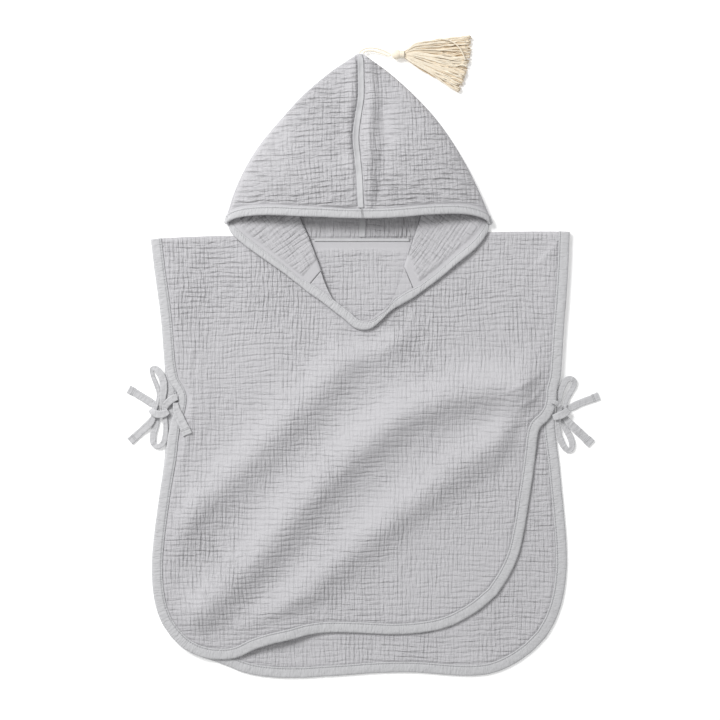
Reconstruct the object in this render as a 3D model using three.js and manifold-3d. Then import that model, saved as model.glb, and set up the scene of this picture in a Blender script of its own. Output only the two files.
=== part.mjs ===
// A hooded bath poncho of crinkled double gauze, laid flat on its back, face up.
// Units are millimetres. x runs to the wearer's left, y to the hood's tip, z up from the surface.
import * as THREE from "three";
import Module from "manifold-3d";

const CLOTH = 1.2; // thickness of the gauze, both plies together
const BIND_WALL = 1.0; // one side of the folded binding
const GAP = 0.3; // space left at each seam
const BIND_HALF = CLOTH / 2 + GAP + BIND_WALL; // from the cloth's middle to the binding's outside
const BIND_WIDTH = 11.4; // how far the body's binding reaches in from the edge
const HOOD_BIND_WIDTH = 9.2; // the same at the hood's mouth, where it is narrower
const INSET = 13; // width of the edge band of a panel, which lies straight inside its binding
const TAPE = 0.8; // thickness of the strips over the seams
const TIE_HALF = 4.7; // half the width of a tie
const TIE_THICK = 2.2; // thickness of a tie, a sewn tube of cloth pressed flat
const STRANDS = 64; // yarns of the tassel
const STRAND_HALF = 0.62; // half the width of one of them
const LOOP_HALF = 0.95; // the same for the cord of the tassel's loop
const LOOKS = {
  muslin: { color: 0xc4c4c6, roughness: 0.95, metalness: 0 },
  binding: { color: 0xc6c6c8, roughness: 0.9, metalness: 0 },
  tassel: { color: 0xf0e4c8, roughness: 0.85, metalness: 0 },
};

// Outlines, each a row of [x, y].
const FRONT_LEFT = [[-251.6, 139.2], [-247.2, 102.6], [-243, 72.6], [-239.3, 42.6], [-236.9, 12.6],
  [-234.8, -10.2], [-229.3, -30.6], [-221.4, -42.6], [-218.6, -51], [-221, -63], [-226.6, -76.2],
  [-230.9, -96.6], [-234, -123], [-238.6, -149.4], [-245.4, -197.4], [-249.6, -235.8],
  [-250.1, -264.6], [-247, -293.4], [-239.4, -317.4], [-228, -335.2]];
const FRONT_HEM = [[-228, -335.2], [-214.8, -348.2], [-199.4, -357], [-184.1, -361.3],
  [-170.4, -362.3], [-156, -361.6], [-144, -358], [-129.6, -350.8], [-110.4, -344.2],
  [-86.4, -338.8], [-62.4, -332.8], [-38.4, -330.4], [-6, -331], [39.6, -332.8], [69.6, -330.8],
  [93.6, -326.5], [115.2, -318.4], [139.2, -304], [160.2, -286.2]];
const FRONT_RIGHT = [[247.2, 148.2], [245.5, 105], [243.1, 66.6], [240.2, 30.6], [238, -5.4],
  [236, -27], [232.3, -41.4], [231.5, -53.4], [228.4, -66], [221.4, -76.8], [212.2, -85.8],
  [208.7, -97.8], [206.8, -115.8], [203.2, -144.6], [198.4, -175.8], [192.5, -211.8],
  [185.4, -240.6], [174, -265.2], [160.2, -286.2]];
const BACK_LEFT = [[-251.6, 139.2], [-247.2, 102.6], [-243, 72.6], [-239.3, 42.6], [-236.9, 12.6],
  [-235.2, -17.4], [-234, -47.4], [-233.5, -77.4], [-234.7, -113.4], [-238.6, -149.4],
  [-245.4, -197.4], [-249.6, -235.8], [-250.1, -264.6], [-247, -293.4], [-239.4, -317.4],
  [-228, -335.2]];
const BACK_HEM = [[-228, -335.2], [-213.6, -349], [-196.8, -358.6], [-174.5, -365.9],
  [-159.2, -371.6], [-144, -377.8], [-128.4, -381.8], [-104.4, -384.6], [-74.4, -385.1],
  [-46.8, -383.6], [-18, -381.8], [20.4, -379.2], [63.4, -378.6], [109.2, -382], [132.2, -382.4],
  [155.2, -379.7], [178.1, -370.6], [201.1, -355.2], [219.5, -337]];
const BACK_RIGHT = [[247.2, 148.2], [245.5, 105], [243.1, 66.6], [240.2, 30.6], [238, -5.4],
  [234.7, -33], [230.9, -55.8], [229.4, -77.4], [231.1, -99], [234.5, -125.4], [237.6, -156.6],
  [241, -192.6], [243.6, -227.4], [243.8, -257.4], [239.5, -289.8], [231.1, -316.2],
  [219.5, -337]];
const SHOULDER_LEFT = [[-251.6, 139.2], [-240, 140.3], [-206.4, 142.3], [-158.4, 143.4],
  [-84, 140.4]];
const SHOULDER_RIGHT = [[81.6, 145.2], [154.8, 147.8], [207.6, 148.7], [247.2, 148.2]];
const FRONT_NECK = [[-84, 140.4], [-69.6, 112.2], [-60, 87], [-44.4, 63], [-20.4, 45],
  [1.2, 36.8], [22.8, 46.2], [43.2, 64.2], [58.8, 87], [68.4, 112.2], [81.6, 145.2]];
const BACK_SHOULDER_LEFT = [[-251.6, 139.2], [-240, 140.3], [-206.4, 142.3], [-158.4, 143.4],
  [-63.6, 138.5]];
const BACK_NECK = [[-63.6, 138.5], [63.6, 138.5]];
const BACK_SHOULDER_RIGHT = [[63.6, 138.5], [154.8, 147.8], [207.6, 148.7], [247.2, 148.2]];

// The hood, a left and a right half. Each line runs from the tip to the mouth.
const SEAM_TOP = [[-1.8, 361.4], [-1.2, 310.2], [-4.2, 288.6], [-6.8, 270.6], [-7.4, 257.4],
  [-5.6, 238.2], [-3.2, 213], [-2, 186.6], [-0.6, 164.4]];
const BACK_SEAM = [[-1.6, 360.2], [-1.2, 282.6], [-0.2, 210.6], [0.4, 138.9]];
const HOOD = {
  left: {
    side: -1,
    edge: [[-6.6, 359.9], [-37.2, 339.8], [-70.8, 311.4], [-97.2, 282.6], [-121.2, 253.8],
      [-139.2, 225], [-152.4, 196.2], [-160.2, 172.2], [-163.4, 159]],
    bar: [[-0.6, 164.4], [-26.4, 165], [-50.4, 166.2], [-74.4, 167], [-106.8, 168.6],
      [-132, 167.9], [-151.2, 164.8], [-163.4, 159]],
    diagonal: [[-163.4, 159], [-159, 149.4], [-142.8, 135.2], [-120, 118.6], [-93.6, 99.8],
      [-67.8, 79.4]],
    seam: [[-67.8, 79.4], [-49.8, 100.8]],
    fold: [[-4.8, 358.8], [-31.2, 318.6], [-56.4, 277.8], [-70.8, 237], [-77.4, 198.6],
      [-75, 166.2], [-64.2, 140.4], [-49.8, 100.8]],
    neck: -63.6,
    shoulder: 143.4,
    lift: 10,
  },
  right: {
    side: 1,
    edge: [[3.2, 359.2], [30.6, 339.8], [62.4, 311.4], [88.8, 282.6], [109.2, 253.8],
      [126, 225], [139.8, 196.2], [150, 172.2], [155, 158.4]],
    bar: [[-0.6, 164.4], [24, 164.8], [48, 166.2], [75.6, 168.6], [105.6, 170], [127.2, 169.1],
      [144, 165], [155, 158.4]],
    diagonal: [[155, 158.4], [152.2, 148.8], [136.8, 130.2], [115.2, 112.4], [90.6, 91.6],
      [64.8, 72.6]],
    seam: [[64.8, 72.6], [51.4, 105]],
    fold: [[1.6, 358.8], [26.4, 318.6], [51.6, 277.8], [66, 237], [73.8, 198.6], [70.8, 166.2],
      [63, 142.2], [51.4, 105]],
    neck: 63.6,
    shoulder: 147.8,
    lift: 11,
  },
};
const FACING_OUT = [[-67.5, 79], [-50.4, 67.8], [-31.2, 52.9], [-19.2, 43.6], [-9, 34.9],
  [1.2, 31.8], [11.8, 33.8], [22.8, 42.6], [35.3, 54.8], [50.4, 64.2], [64.5, 72.2]];
const FACING_IN = [[-49.4, 100.2], [-40.2, 77], [-28.8, 59.4], [-15.8, 50.4], [-5.6, 43.4],
  [1.2, 42], [10.8, 44.2], [19.8, 51], [31.8, 60], [43.2, 82.8], [51, 104.4]];

// Ridges and troughs of the front: height, half width, then points along the crest.
const FRONT_FOLDS = [
  { height: 10.5, width: 24, crest: [[-236, -212], [-190, -176], [-140, -130], [-90, -80],
    [-42, -30], [-4, 8], [32, 26]] },
  { height: 14, width: 25, crest: [[-218, -329], [-204, -317], [-169, -286], [-125, -242],
    [-79, -186], [-13, -118], [48, -71], [110, -47], [170, -38], [222, -36]] },
  { height: 10, width: 22, crest: [[-122, -326], [-78, -290], [-20, -241], [45, -188],
    [109, -140], [170, -97], [206, -74]] },
];
// The same for the crown of the hood.
const HOOD_FOLDS = [
  { height: 3.4, width: 7, crest: [[-9, 350], [-12.5, 310], [-14.5, 280], [-15, 255], [-13, 225]] },
  { height: 3.4, width: 6.5, crest: [[8.4, 352.2], [12, 312.6], [7.6, 264.6], [8.4, 216.6],
    [10.8, 180.6]] },
  { height: -3.8, width: 8.5, crest: [[25, 295], [27, 258], [24, 215], [18, 182]] },
  { height: -3, width: 8, crest: [[-5, 292], [-7, 264.6], [-5, 240.6]] },
];

// Measures along a row of points.
const lerp = (a, b, f) => a + (b - a) * f;
const smooth = (a, b, x) => {
  const f = Math.min(1, Math.max(0, (x - a) / (b - a)));
  return f * f * (3 - 2 * f);
};

// The point a share t of the way along a smooth line through the points, of any dimension.
function along(points, t) {
  const reach = [0];
  for (let i = 1; i < points.length; i++)
    reach.push(reach[i - 1]
      + Math.hypot(points[i][0] - points[i - 1][0], points[i][1] - points[i - 1][1]));
  const want = Math.min(1, Math.max(0, t)) * reach.at(-1);
  let i = 0;
  while (i < points.length - 2 && reach[i + 1] < want) i++;
  const step = reach[i + 1] - reach[i];
  const f = step ? (want - reach[i]) / step : 0;
  const slope = (k, c) => {
    const a = Math.max(0, k - 1);
    const b = Math.min(points.length - 1, k + 1);
    return (points[b][c] - points[a][c]) / (reach[b] - reach[a]);
  };
  return points[i].map((_, c) => {
    const a = points[i][c];
    const b = points[i + 1][c];
    const f2 = f * f;
    const f3 = f2 * f;
    return (2 * f3 - 3 * f2 + 1) * a + (f3 - 2 * f2 + f) * step * slope(i, c)
      + (3 * f2 - 2 * f3) * b + (f3 - f2) * step * slope(i + 1, c);
  });
}

// n + 1 points at even steps along a line.
const stations = (points, n) => Array.from({ length: n + 1 }, (_, k) => along(points, k / n));

function distanceTo(points, x, y) {
  let best = Infinity;
  for (let i = 1; i < points.length; i++) {
    const [ax, ay] = points[i - 1];
    const dx = points[i][0] - ax;
    const dy = points[i][1] - ay;
    const f = Math.min(1, Math.max(0, ((x - ax) * dx + (y - ay) * dy) / (dx * dx + dy * dy)));
    best = Math.min(best, Math.hypot(x - ax - f * dx, y - ay - f * dy));
  }
  return best;
}

const foldHeight = (folds, x, y) =>
  folds.reduce((sum, f) => sum + f.height * Math.exp(-((distanceTo(f.crest, x, y) / f.width) ** 2)), 0);

// A point inside four border lines: top and bottom run across, left and right run down.
function coons(top, bottom, left, right, s, v) {
  const t = along(top, s);
  const b = typeof bottom === "function" ? bottom(s) : along(bottom, s);
  const l = along(left, v);
  const r = along(right, v);
  return [0, 1].map((c) => lerp(t[c], b[c], v) + lerp(l[c], r[c], s)
    - lerp(lerp(left[0][c], right[0][c], s), lerp(left.at(-1)[c], right.at(-1)[c], s), v));
}

// A surface of triangles, which becomes a wall of cloth.
class Surface {
  constructor() {
    this.points = [];
    this.normals = [];
    this.faces = [];
  }
  add(p, n) {
    this.points.push(new THREE.Vector3(...p));
    this.normals.push(n ? n.clone() : null);
    return this.points.length - 1;
  }
  quad(a, b, c, d) {
    this.faces.push([a, b, c], [a, c, d]);
  }
  // Normals from the faces where none was given.
  settle() {
    const sum = this.points.map(() => new THREE.Vector3());
    for (const [a, b, c] of this.faces) {
      const n = new THREE.Vector3().subVectors(this.points[b], this.points[a])
        .cross(new THREE.Vector3().subVectors(this.points[c], this.points[a]));
      for (const k of [a, b, c]) sum[k].add(n);
    }
    sum.forEach((n, k) => (this.normals[k] ??= n.normalize()));
  }
  // A wall of the given thickness about the surface, closed at its open edges.
  wall(thickness) {
    this.settle();
    const n = this.points.length;
    const place = [1, -1].flatMap((sign) =>
      this.points.map((p, k) => p.clone().addScaledVector(this.normals[k], (sign * thickness) / 2)));
    const index = [];
    const edges = new Set(this.faces.flatMap(([a, b, c]) => [`${a} ${b}`, `${b} ${c}`, `${c} ${a}`]));
    for (const [a, b, c] of this.faces) index.push(a, b, c, a + n, c + n, b + n);
    for (const key of edges) {
      const [a, b] = key.split(" ").map(Number);
      if (!edges.has(`${b} ${a}`)) index.push(a, a + n, b + n, a, b + n, b);
    }
    return solid(place, index);
  }
}

function solid(points, index) {
  const g = new THREE.BufferGeometry().setFromPoints(points);
  g.setIndex(index);
  g.computeVertexNormals();
  return g;
}

// A grid of points, rows of equal length, as a surface that faces up. A point may carry its normal.
function sheet(rows) {
  const s = new Surface();
  const at = rows.map((row) => row.map((p) => s.add(p.slice(0, 3), p[3])));
  for (let j = 1; j < at.length; j++)
    for (let i = 1; i < at[j].length; i++)
      s.quad(at[j - 1][i - 1], at[j][i - 1], at[j][i], at[j - 1][i]);
  return s;
}

// A section swept along frames. Each frame has an origin, and the two directions of the section.
// The section is one row of points, or one such row for each frame.
function sweep(frames, section, closed) {
  const sections = typeof section[0][0] === "number" ? frames.map(() => section) : section;
  const m = sections[0].length;
  const points = frames.flatMap((f, k) => sections[k].map(([e, n]) =>
    f.at.clone().addScaledVector(f.e, e * (f.scale ?? 1)).addScaledVector(f.n, n)));
  const index = [];
  const count = frames.length;
  for (let k = 0; k < (closed ? count : count - 1); k++)
    for (let i = 0; i < m; i++) {
      const a = k * m + i;
      const b = k * m + ((i + 1) % m);
      const c = ((k + 1) % count) * m + ((i + 1) % m);
      const d = ((k + 1) % count) * m + i;
      index.push(a, b, c, a, c, d);
    }
  if (!closed) {
    const outline = sections[0].map(([x, y]) => new THREE.Vector2(x, y));
    const cap = THREE.ShapeUtils.triangulateShape(outline, []);
    const turn = THREE.ShapeUtils.area(outline) > 0;
    const last = (count - 1) * m;
    for (const [a, b, c] of cap) {
      if (turn) index.push(a, c, b, last + a, last + b, last + c);
      else index.push(a, b, c, last + a, last + c, last + b);
    }
  }
  return facingOut(solid(points, index));
}

// The same solid with its faces turned outward.
function facingOut(g) {
  const p = g.getAttribute("position");
  const ix = g.index.array;
  let volume = 0;
  const v = (i) => new THREE.Vector3().fromBufferAttribute(p, i);
  for (let i = 0; i < ix.length; i += 3) volume += v(ix[i]).dot(v(ix[i + 1]).cross(v(ix[i + 2])));
  if (volume < 0)
    for (let i = 0; i < ix.length; i += 3) [ix[i + 1], ix[i + 2]] = [ix[i + 2], ix[i + 1]];
  g.computeVertexNormals();
  return g;
}

// The folded binding's section: e is how far in from the cloth's edge, n is up.
const bindingSection = (width, gap = GAP) => [[width, BIND_HALF], [-0.7, BIND_HALF],
  [-GAP - BIND_WALL, 0], [-0.7, -BIND_HALF], [width, -BIND_HALF], [width, -CLOTH / 2 - gap],
  [-gap, -CLOTH / 2 - gap], [-gap, CLOTH / 2 + gap], [width, CLOTH / 2 + gap]];

// Body panels. A panel is an edge band, one quad wide, round a patch that four rows of stations enclose.
function panel(sides, edgeZ, insideZ) {
  const { top, right, hem, left } = sides;
  const loop = [...top.slice(0, -1), ...right.slice(0, -1), ...[...hem].reverse().slice(0, -1),
    ...[...left].reverse().slice(0, -1)];
  const count = loop.length;
  const nU = top.length - 1;
  const nV = right.length - 1;
  const s = new Surface();
  const ring = loop.map((p, k) => {
    const before = loop[(k + count - 1) % count];
    const after = loop[(k + 1) % count];
    const inward = (a, b) => new THREE.Vector2(b[1] - a[1], a[0] - b[0]).normalize();
    const n1 = inward(before, p);
    const n2 = inward(p, after);
    const miter = n1.clone().add(n2).multiplyScalar(1 / Math.max(0.5, 1 + n1.dot(n2)));
    const inner = [p[0] + miter.x * INSET, p[1] + miter.y * INSET];
    const z = edgeZ(k, p, count, nU, nV);
    return { edge: [...p, z], inner: [...inner, z], miter: new THREE.Vector3(miter.x, miter.y, 0), z };
  });
  const up = new THREE.Vector3(0, 0, 1);
  const outer = ring.map((r) => s.add(r.edge, up));
  const inner = ring.map((r) => s.add(r.inner, up));
  for (let k = 0; k < count; k++)
    s.quad(outer[(k + 1) % count], outer[k], inner[k], inner[(k + 1) % count]);
  const row = (a, n) => Array.from({ length: n + 1 }, (_, k) => ring[(a + k) % count].inner);
  const t = row(0, nU);
  const r = row(nU, nV);
  const b = row(nU + nV, nU).reverse();
  const l = row(2 * nU + nV, nV).reverse();
  const grid = [];
  for (let j = 0; j <= nV; j++) {
    grid.push([]);
    for (let i = 0; i <= nU; i++) {
      let id;
      if (j === 0) id = inner[i];
      else if (i === nU) id = inner[nU + j];
      else if (j === nV) id = inner[2 * nU + nV - i];
      else if (i === 0) id = inner[(2 * nU + 2 * nV - j) % count];
      else {
        const u = i / nU;
        const v = j / nV;
        const at = [0, 1].map((c) => lerp(t[i][c], b[i][c], v) + lerp(l[j][c], r[j][c], u)
          - lerp(lerp(t[0][c], t[nU][c], u), lerp(b[0][c], b[nU][c], u), v));
        id = s.add([...at, insideZ(at[0], at[1], ring)]);
      }
      grid[j].push(id);
    }
  }
  for (let j = 1; j <= nV; j++)
    for (let i = 1; i <= nU; i++) s.quad(grid[j - 1][i - 1], grid[j][i - 1], grid[j][i], grid[j - 1][i]);
  return { surface: s, ring, nU, nV };
}

// How much the nearest edge's height shows at a point inside.
function edgePull(ring, x, y, base, reach) {
  let best = Infinity;
  let z = base;
  for (const r of ring) {
    const d = Math.hypot(x - r.edge[0], y - r.edge[1]);
    if (d < best) {
      best = d;
      z = r.z;
    }
  }
  return base + (z - base) * Math.exp(-((Math.max(0, best - INSET) / reach) ** 2));
}

const join = (...rows) => rows.flatMap((r, k) => (k ? r.slice(1) : r));

const BACK_Z = CLOTH / 2; // the back lies on the surface
const EDGE_Z = BIND_HALF; // its bound edge is lifted by the binding under it
const HEM_RISE = 6.2; // how high the front's hem stands where it has curled up
const back = panel(
  {
    top: join(stations(BACK_SHOULDER_LEFT, 7), stations(BACK_NECK, 5), stations(BACK_SHOULDER_RIGHT, 7)),
    right: stations(BACK_RIGHT, 20), hem: stations(BACK_HEM, 19), left: stations(BACK_LEFT, 20),
  },
  (k, p, count, nU) => (k <= nU ? lerp(EDGE_Z, BACK_Z, smooth(0, 34, 246 - Math.abs(p[0]))) : EDGE_Z),
  (x, y, ring) => edgePull(ring, x, y, BACK_Z, 11),
);

const FRONT_Z = 3.1; // the front's middle where it lies flat on the back
const OVER_BINDING = 3 * BIND_HALF + GAP; // and where its binding lies on the back's binding
const OVER_BACK = CLOTH + GAP + BIND_HALF + 0.4; // and where its binding lies on the back's cloth
function frontEdge(k, [x, y], count, nU, nV) {
  if (k <= nU) return lerp(OVER_BINDING, BACK_Z + CLOTH + GAP, smooth(0, 34, 246 - Math.abs(x)));
  if (k <= nU + nV) return lerp(OVER_BACK, OVER_BINDING, smooth(-128, -98, y));
  if (k <= 2 * nU + nV)
    return lerp(OVER_BINDING, OVER_BACK, smooth(-132, -96, x)) + HEM_RISE * Math.exp(-(((x + 96) / 34) ** 2));
  return OVER_BINDING;
}
const front = panel(
  {
    top: join(stations(SHOULDER_LEFT, 7), stations(FRONT_NECK, 12), stations(SHOULDER_RIGHT, 7)),
    right: stations(FRONT_RIGHT, 25), hem: stations(FRONT_HEM, 26), left: stations(FRONT_LEFT, 25),
  },
  frontEdge,
  (x, y, ring) => {
    const nearest = Math.min(...ring.map((r) => Math.hypot(x - r.edge[0], y - r.edge[1])));
    return edgePull(ring, x, y, FRONT_Z, 30)
      + foldHeight(FRONT_FOLDS, x, y) * smooth(INSET, INSET + 34, nearest);
  },
);

// Frames for a binding from the stations of a panel's edge band.
function edgeFrames(ring, from, to) {
  return ring.slice(from, to + 1).map((r) => ({
    at: new THREE.Vector3(...r.edge),
    e: new THREE.Vector3(r.inner[0] - r.edge[0], r.inner[1] - r.edge[1], 0).divideScalar(INSET),
    n: new THREE.Vector3(0, 0, 1),
  }));
}
function bodyBinding(made) {
  const { ring, nU, nV } = made;
  return sweep(edgeFrames([...ring, ring[0]], nU, 2 * (nU + nV)), bindingSection(BIND_WIDTH), false);
}

// The hood's rows and columns: shares of the way across each part, and from the tip to the mouth.
const TOP_COLUMNS = [0, 0.035, 0.08, 0.15, 0.24, 0.36, 0.5, 0.64, 0.78, 0.9, 1];
const ROLL = [0.25, 0.5, 0.75];
const LOWER_COLUMNS = [0, 0.06, 0.12, 0.19, 0.28, 0.38, 0.5, 0.62, 0.73, 0.84, 0.92, 1];
const ROWS = [0, 0.08, 0.17, 0.27, 0.37, 0.47, 0.57, 0.67, 0.77, 0.87, 0.95, 1];
const edgeRoll = (v) => lerp(1.5, 3.4, smooth(0.5, 1, v)); // radius of the fold at the outer edge
const FLOOR = CLOTH / 2 + 0.02;
const UNDER = 9; // how far the pleat goes back under the lapel's fold
const UNDER_TIP = 1.3; // the same at the tip, where the layers meet
const under = (v) => lerp(UNDER_TIP, UNDER, Math.min(1, v / 0.17));

// Points of one half, by part of its section: s across, v from the tip to the mouth.
function hoodTop(h, s, v) {
  const [x, y] = coons([SEAM_TOP[0], h.edge[0]], h.bar, SEAM_TOP, h.edge, s, v);
  const low = lerp(FLOOR, BIND_HALF, smooth(0.6, 0.95, v)) + 2 * edgeRoll(v);
  const crown = lerp(3.5, 15, smooth(0, 0.9, v));
  const dome = (1 - s ** 3) ** 0.75;
  const near = smooth(1, 0.8, s);
  const folds = foldHeight(HOOD_FOLDS, x, y) * near * smooth(1.02, 0.8, v);
  return [x + 0.15 * h.side * (1 - s), y, low + crown * dome + folds];
}
function hoodEdge(h, f, v) {
  const [x, y] = along(h.edge, v);
  const [x2, y2] = along(h.edge, Math.min(1, v + 0.02));
  const [x1, y1] = along(h.edge, Math.max(0, v - 0.02));
  const len = Math.hypot(x2 - x1, y2 - y1);
  const r = edgeRoll(v);
  const low = lerp(FLOOR, BIND_HALF, smooth(0.6, 0.95, v));
  const a = Math.PI * f;
  const out = [h.side * Math.abs((y2 - y1) / len), Math.abs((x2 - x1) / len)];
  const o = r * (Math.sin(a) - 1);
  return [x + out[0] * o, y + out[1] * o, low + r + r * Math.cos(a)];
}
function lapelLift(h, s, x, y, v) {
  const onShoulder = smooth(h.shoulder + 35, h.shoulder + 6, y) * smooth(0.5, 0.8, v)
    * smooth(-0.07, 0.15, s);
  const onFront = smooth(152, 106, y + 0.1 * Math.abs(x)) * smooth(0.6, 0.95, v);
  const bound = lerp(h.lift, 5.6, smooth(0, 0.75, s));
  return 4.4 * onShoulder + (bound - 4.4) * onFront;
}
const CORNER = 0.84; // share of the lapel's lower border that is bound; the rest is its neck seam
const lapelBorder = (h) => (s) =>
  (s < CORNER ? along(h.diagonal, s / CORNER) : along(h.seam, (s - CORNER) / (1 - CORNER)));
function hoodLower(h, s, v) {
  const row = coons([h.edge[0], h.fold[0]], lapelBorder(h), h.edge, h.fold, s, v);
  const low = lerp(FLOOR, BIND_HALF, smooth(0.6, 0.95, v) * smooth(0.6, 0.1, s));
  const pleat = 4.4 * smooth(0.62, 0.86, s);
  const inset = edgeRoll(v) * smooth(0.3, 0, s);
  return [row[0] - h.side * inset * 0.9, row[1] - inset * 0.4,
    low + Math.max(pleat, lapelLift(h, s, row[0], row[1], v))];
}
function hoodUnder(h, s, v) {
  const fold = along(h.fold, v);
  const z0 = hoodLower(h, 1, v)[2];
  const x = fold[0] + h.side * under(v) * s;
  const y = fold[1] + 5 * s * smooth(0.8, 1, v);
  return [x, y, lerp(z0 - 2.2, 2.75, s)];
}
function hoodBack(h, s, v) {
  const mouth = [[h.neck, 138.9], [0.4, 138.9]];
  const inner = h.fold.slice(0, -2).map(([x, y], k) => [x + h.side * (under(k) - 1), y]);
  inner.push([lerp(inner.at(-1)[0], h.neck, 0.5), 152], mouth[0]);
  const [x, y] = coons([inner[0], BACK_SEAM[0]], mouth, inner, BACK_SEAM, s, v);
  return [x + 0.15 * h.side * s, y, FLOOR];
}
// One half from its crown seam, round its outer edge and back to its seam at the back.
function hoodHalf(h) {
  const rows = ROWS.map((v) => {
    const row = TOP_COLUMNS.map((s) => hoodTop(h, s, v));
    const last = TOP_COLUMNS.length - 1;
    row[last] = hoodEdge(h, 0, v);
    for (const f of ROLL) row.push(hoodEdge(h, f, v));
    row.push(hoodEdge(h, 1, v));
    for (const s of LOWER_COLUMNS.slice(1)) row.push(hoodLower(h, s, v));
    const turn = hoodLower(h, 1, v);
    row.push([turn[0] - h.side * 1.1, turn[1], turn[2] - 1.1]);
    for (const s of [0.12, 0.9]) row.push(hoodUnder(h, s, v));
    const b = hoodBack(h, 0, v);
    row.push([b[0] + h.side * 1.6, b[1], 1.9]);
    for (const s of [0.02, 0.25, 0.5, 0.75, 0.93, 1]) row.push(hoodBack(h, s, v));
    return row;
  });
  // The band inside the binding takes the binding's own normals, so the gap between them is even.
  mouthHalf(h).forEach(({ n }, i) => rows.slice(-2).forEach((row) => (row[i][3] = n)));
  return h.side < 0 ? rows.map((r) => [...r].reverse()) : rows;
}

// Frames along a row of points: e lies level across the path, n stands up from it.
function pathFrames(rows) {
  const v = rows.map(([x, y, z]) => new THREE.Vector3(x, y, z));
  return rows.map((row, k) => {
    const t = v[Math.min(k + 1, v.length - 1)].clone().sub(v[Math.max(k - 1, 0)]).normalize();
    const e = new THREE.Vector3(-t.y, t.x, 0).normalize();
    return { at: v[k], e, n: new THREE.Vector3().crossVectors(t, e), scale: row[3] ?? 1 };
  });
}

// The hood's mouth: the frames of its edge from the crown seam, round the left corner, down the
// left lapel, under the V, up the right lapel and back along the bar.
const INNER_ROW = ROWS.at(-2);
function edgePairs(h) {
  const top = TOP_COLUMNS.slice(0, -1).map((s) => [hoodTop(h, s, 1), hoodTop(h, s, INNER_ROW)]);
  const roll = [0, ...ROLL, 1].map((f) => [hoodEdge(h, f, 1), hoodEdge(h, f, INNER_ROW)]);
  const lower = LOWER_COLUMNS.filter((s) => s > 0 && s <= CORNER)
    .map((s) => [hoodLower(h, s, 1), hoodLower(h, s, INNER_ROW)]);
  return [...top, ...roll, ...lower];
}
function framesOf(pairs, closed) {
  const at = pairs.map(([p]) => new THREE.Vector3(...p));
  const last = at.length - 1;
  return pairs.map(([, inner], k) => {
    const after = closed ? (k + 1) % at.length : Math.min(last, k + 1);
    const before = closed ? (k + last) % at.length : Math.max(0, k - 1);
    const t = at[after].clone().sub(at[before]).normalize();
    const e = new THREE.Vector3(...inner).sub(at[k]).normalize();
    return { at: at[k], e, n: new THREE.Vector3().crossVectors(e, t).normalize() };
  });
}
// The right half is walked the other way, so that its normals point outward too.
const mouthHalf = (h) => (h.side < 0 ? framesOf(edgePairs(h), false)
  : framesOf(edgePairs(h).reverse(), false).reverse());
function mouthFrames() {
  const facing = facingRows().slice(1, -1).map((row) => [row[0], row.at(-1)]);
  const left = edgePairs(HOOD.left);
  const right = edgePairs(HOOD.right).slice(1).reverse();
  const loop = framesOf([...left, ...facing, ...right], true);
  mouthHalf(HOOD.left).forEach((f, k) => (loop[k] = f));
  mouthHalf(HOOD.right).slice(1).reverse()
    .forEach((f, k) => (loop[left.length + facing.length + k] = f));
  return loop;
}

const FACING_Z = 6.22;
function facingRows() {
  const n = 14;
  return Array.from({ length: n + 1 }, (_, k) => {
    const [x, y] = along(FACING_OUT, k / n);
    const [x2, y2] = along(FACING_IN, k / n);
    const reach = Math.hypot(x2 - x, y2 - y);
    const f = Math.min(0.96, (HOOD_BIND_WIDTH + 0.4) / reach);
    return [[x, y, FACING_Z], [lerp(x, x2, f), lerp(y, y2, f), FACING_Z], [x2, y2, FACING_Z]];
  });
}

// A strip laid over the crown seam, from the tip down to the mouth's binding.
const TAPE_HALF = 3.4;
function crownTape() {
  const rows = [0.004, ...ROWS.slice(1, -2), 0.944].map((v) => {
    const profile = [...TOP_COLUMNS].reverse().map((s) => hoodTop(HOOD.left, s, v))
      .concat(TOP_COLUMNS.map((s) => hoodTop(HOOD.right, s, v)));
    const mid = along(SEAM_TOP, v);
    const half = Math.min(TAPE_HALF, 0.5 * (profile.at(-1)[0] - profile[0][0]));
    return [-half, 0, half].map((dx) => {
      const x = mid[0] + dx;
      const k = Math.max(1, profile.findIndex((p) => p[0] >= x));
      const [a, b] = [profile[k - 1], profile[k]];
      const f = (x - a[0]) / Math.max(1e-6, b[0] - a[0]);
      const clear = CLOTH / 2 + GAP + TAPE / 2 + 0.15 + 0.9 * smooth(0.1, 0, v);
      return [x, lerp(a[1], b[1], f), lerp(a[2], b[2], f) + clear];
    });
  });
  return rows;
}
const strip = (line, n, half, z) => stations(line, n).map(([x, y], k, all) => {
  const a = all[Math.max(0, k - 1)];
  const b = all[Math.min(n, k + 1)];
  const d = Math.hypot(b[0] - a[0], b[1] - a[1]);
  return [-half, half].map((w) => [x + ((b[1] - a[1]) / d) * w, y - ((b[0] - a[0]) / d) * w, z]);
});

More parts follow.
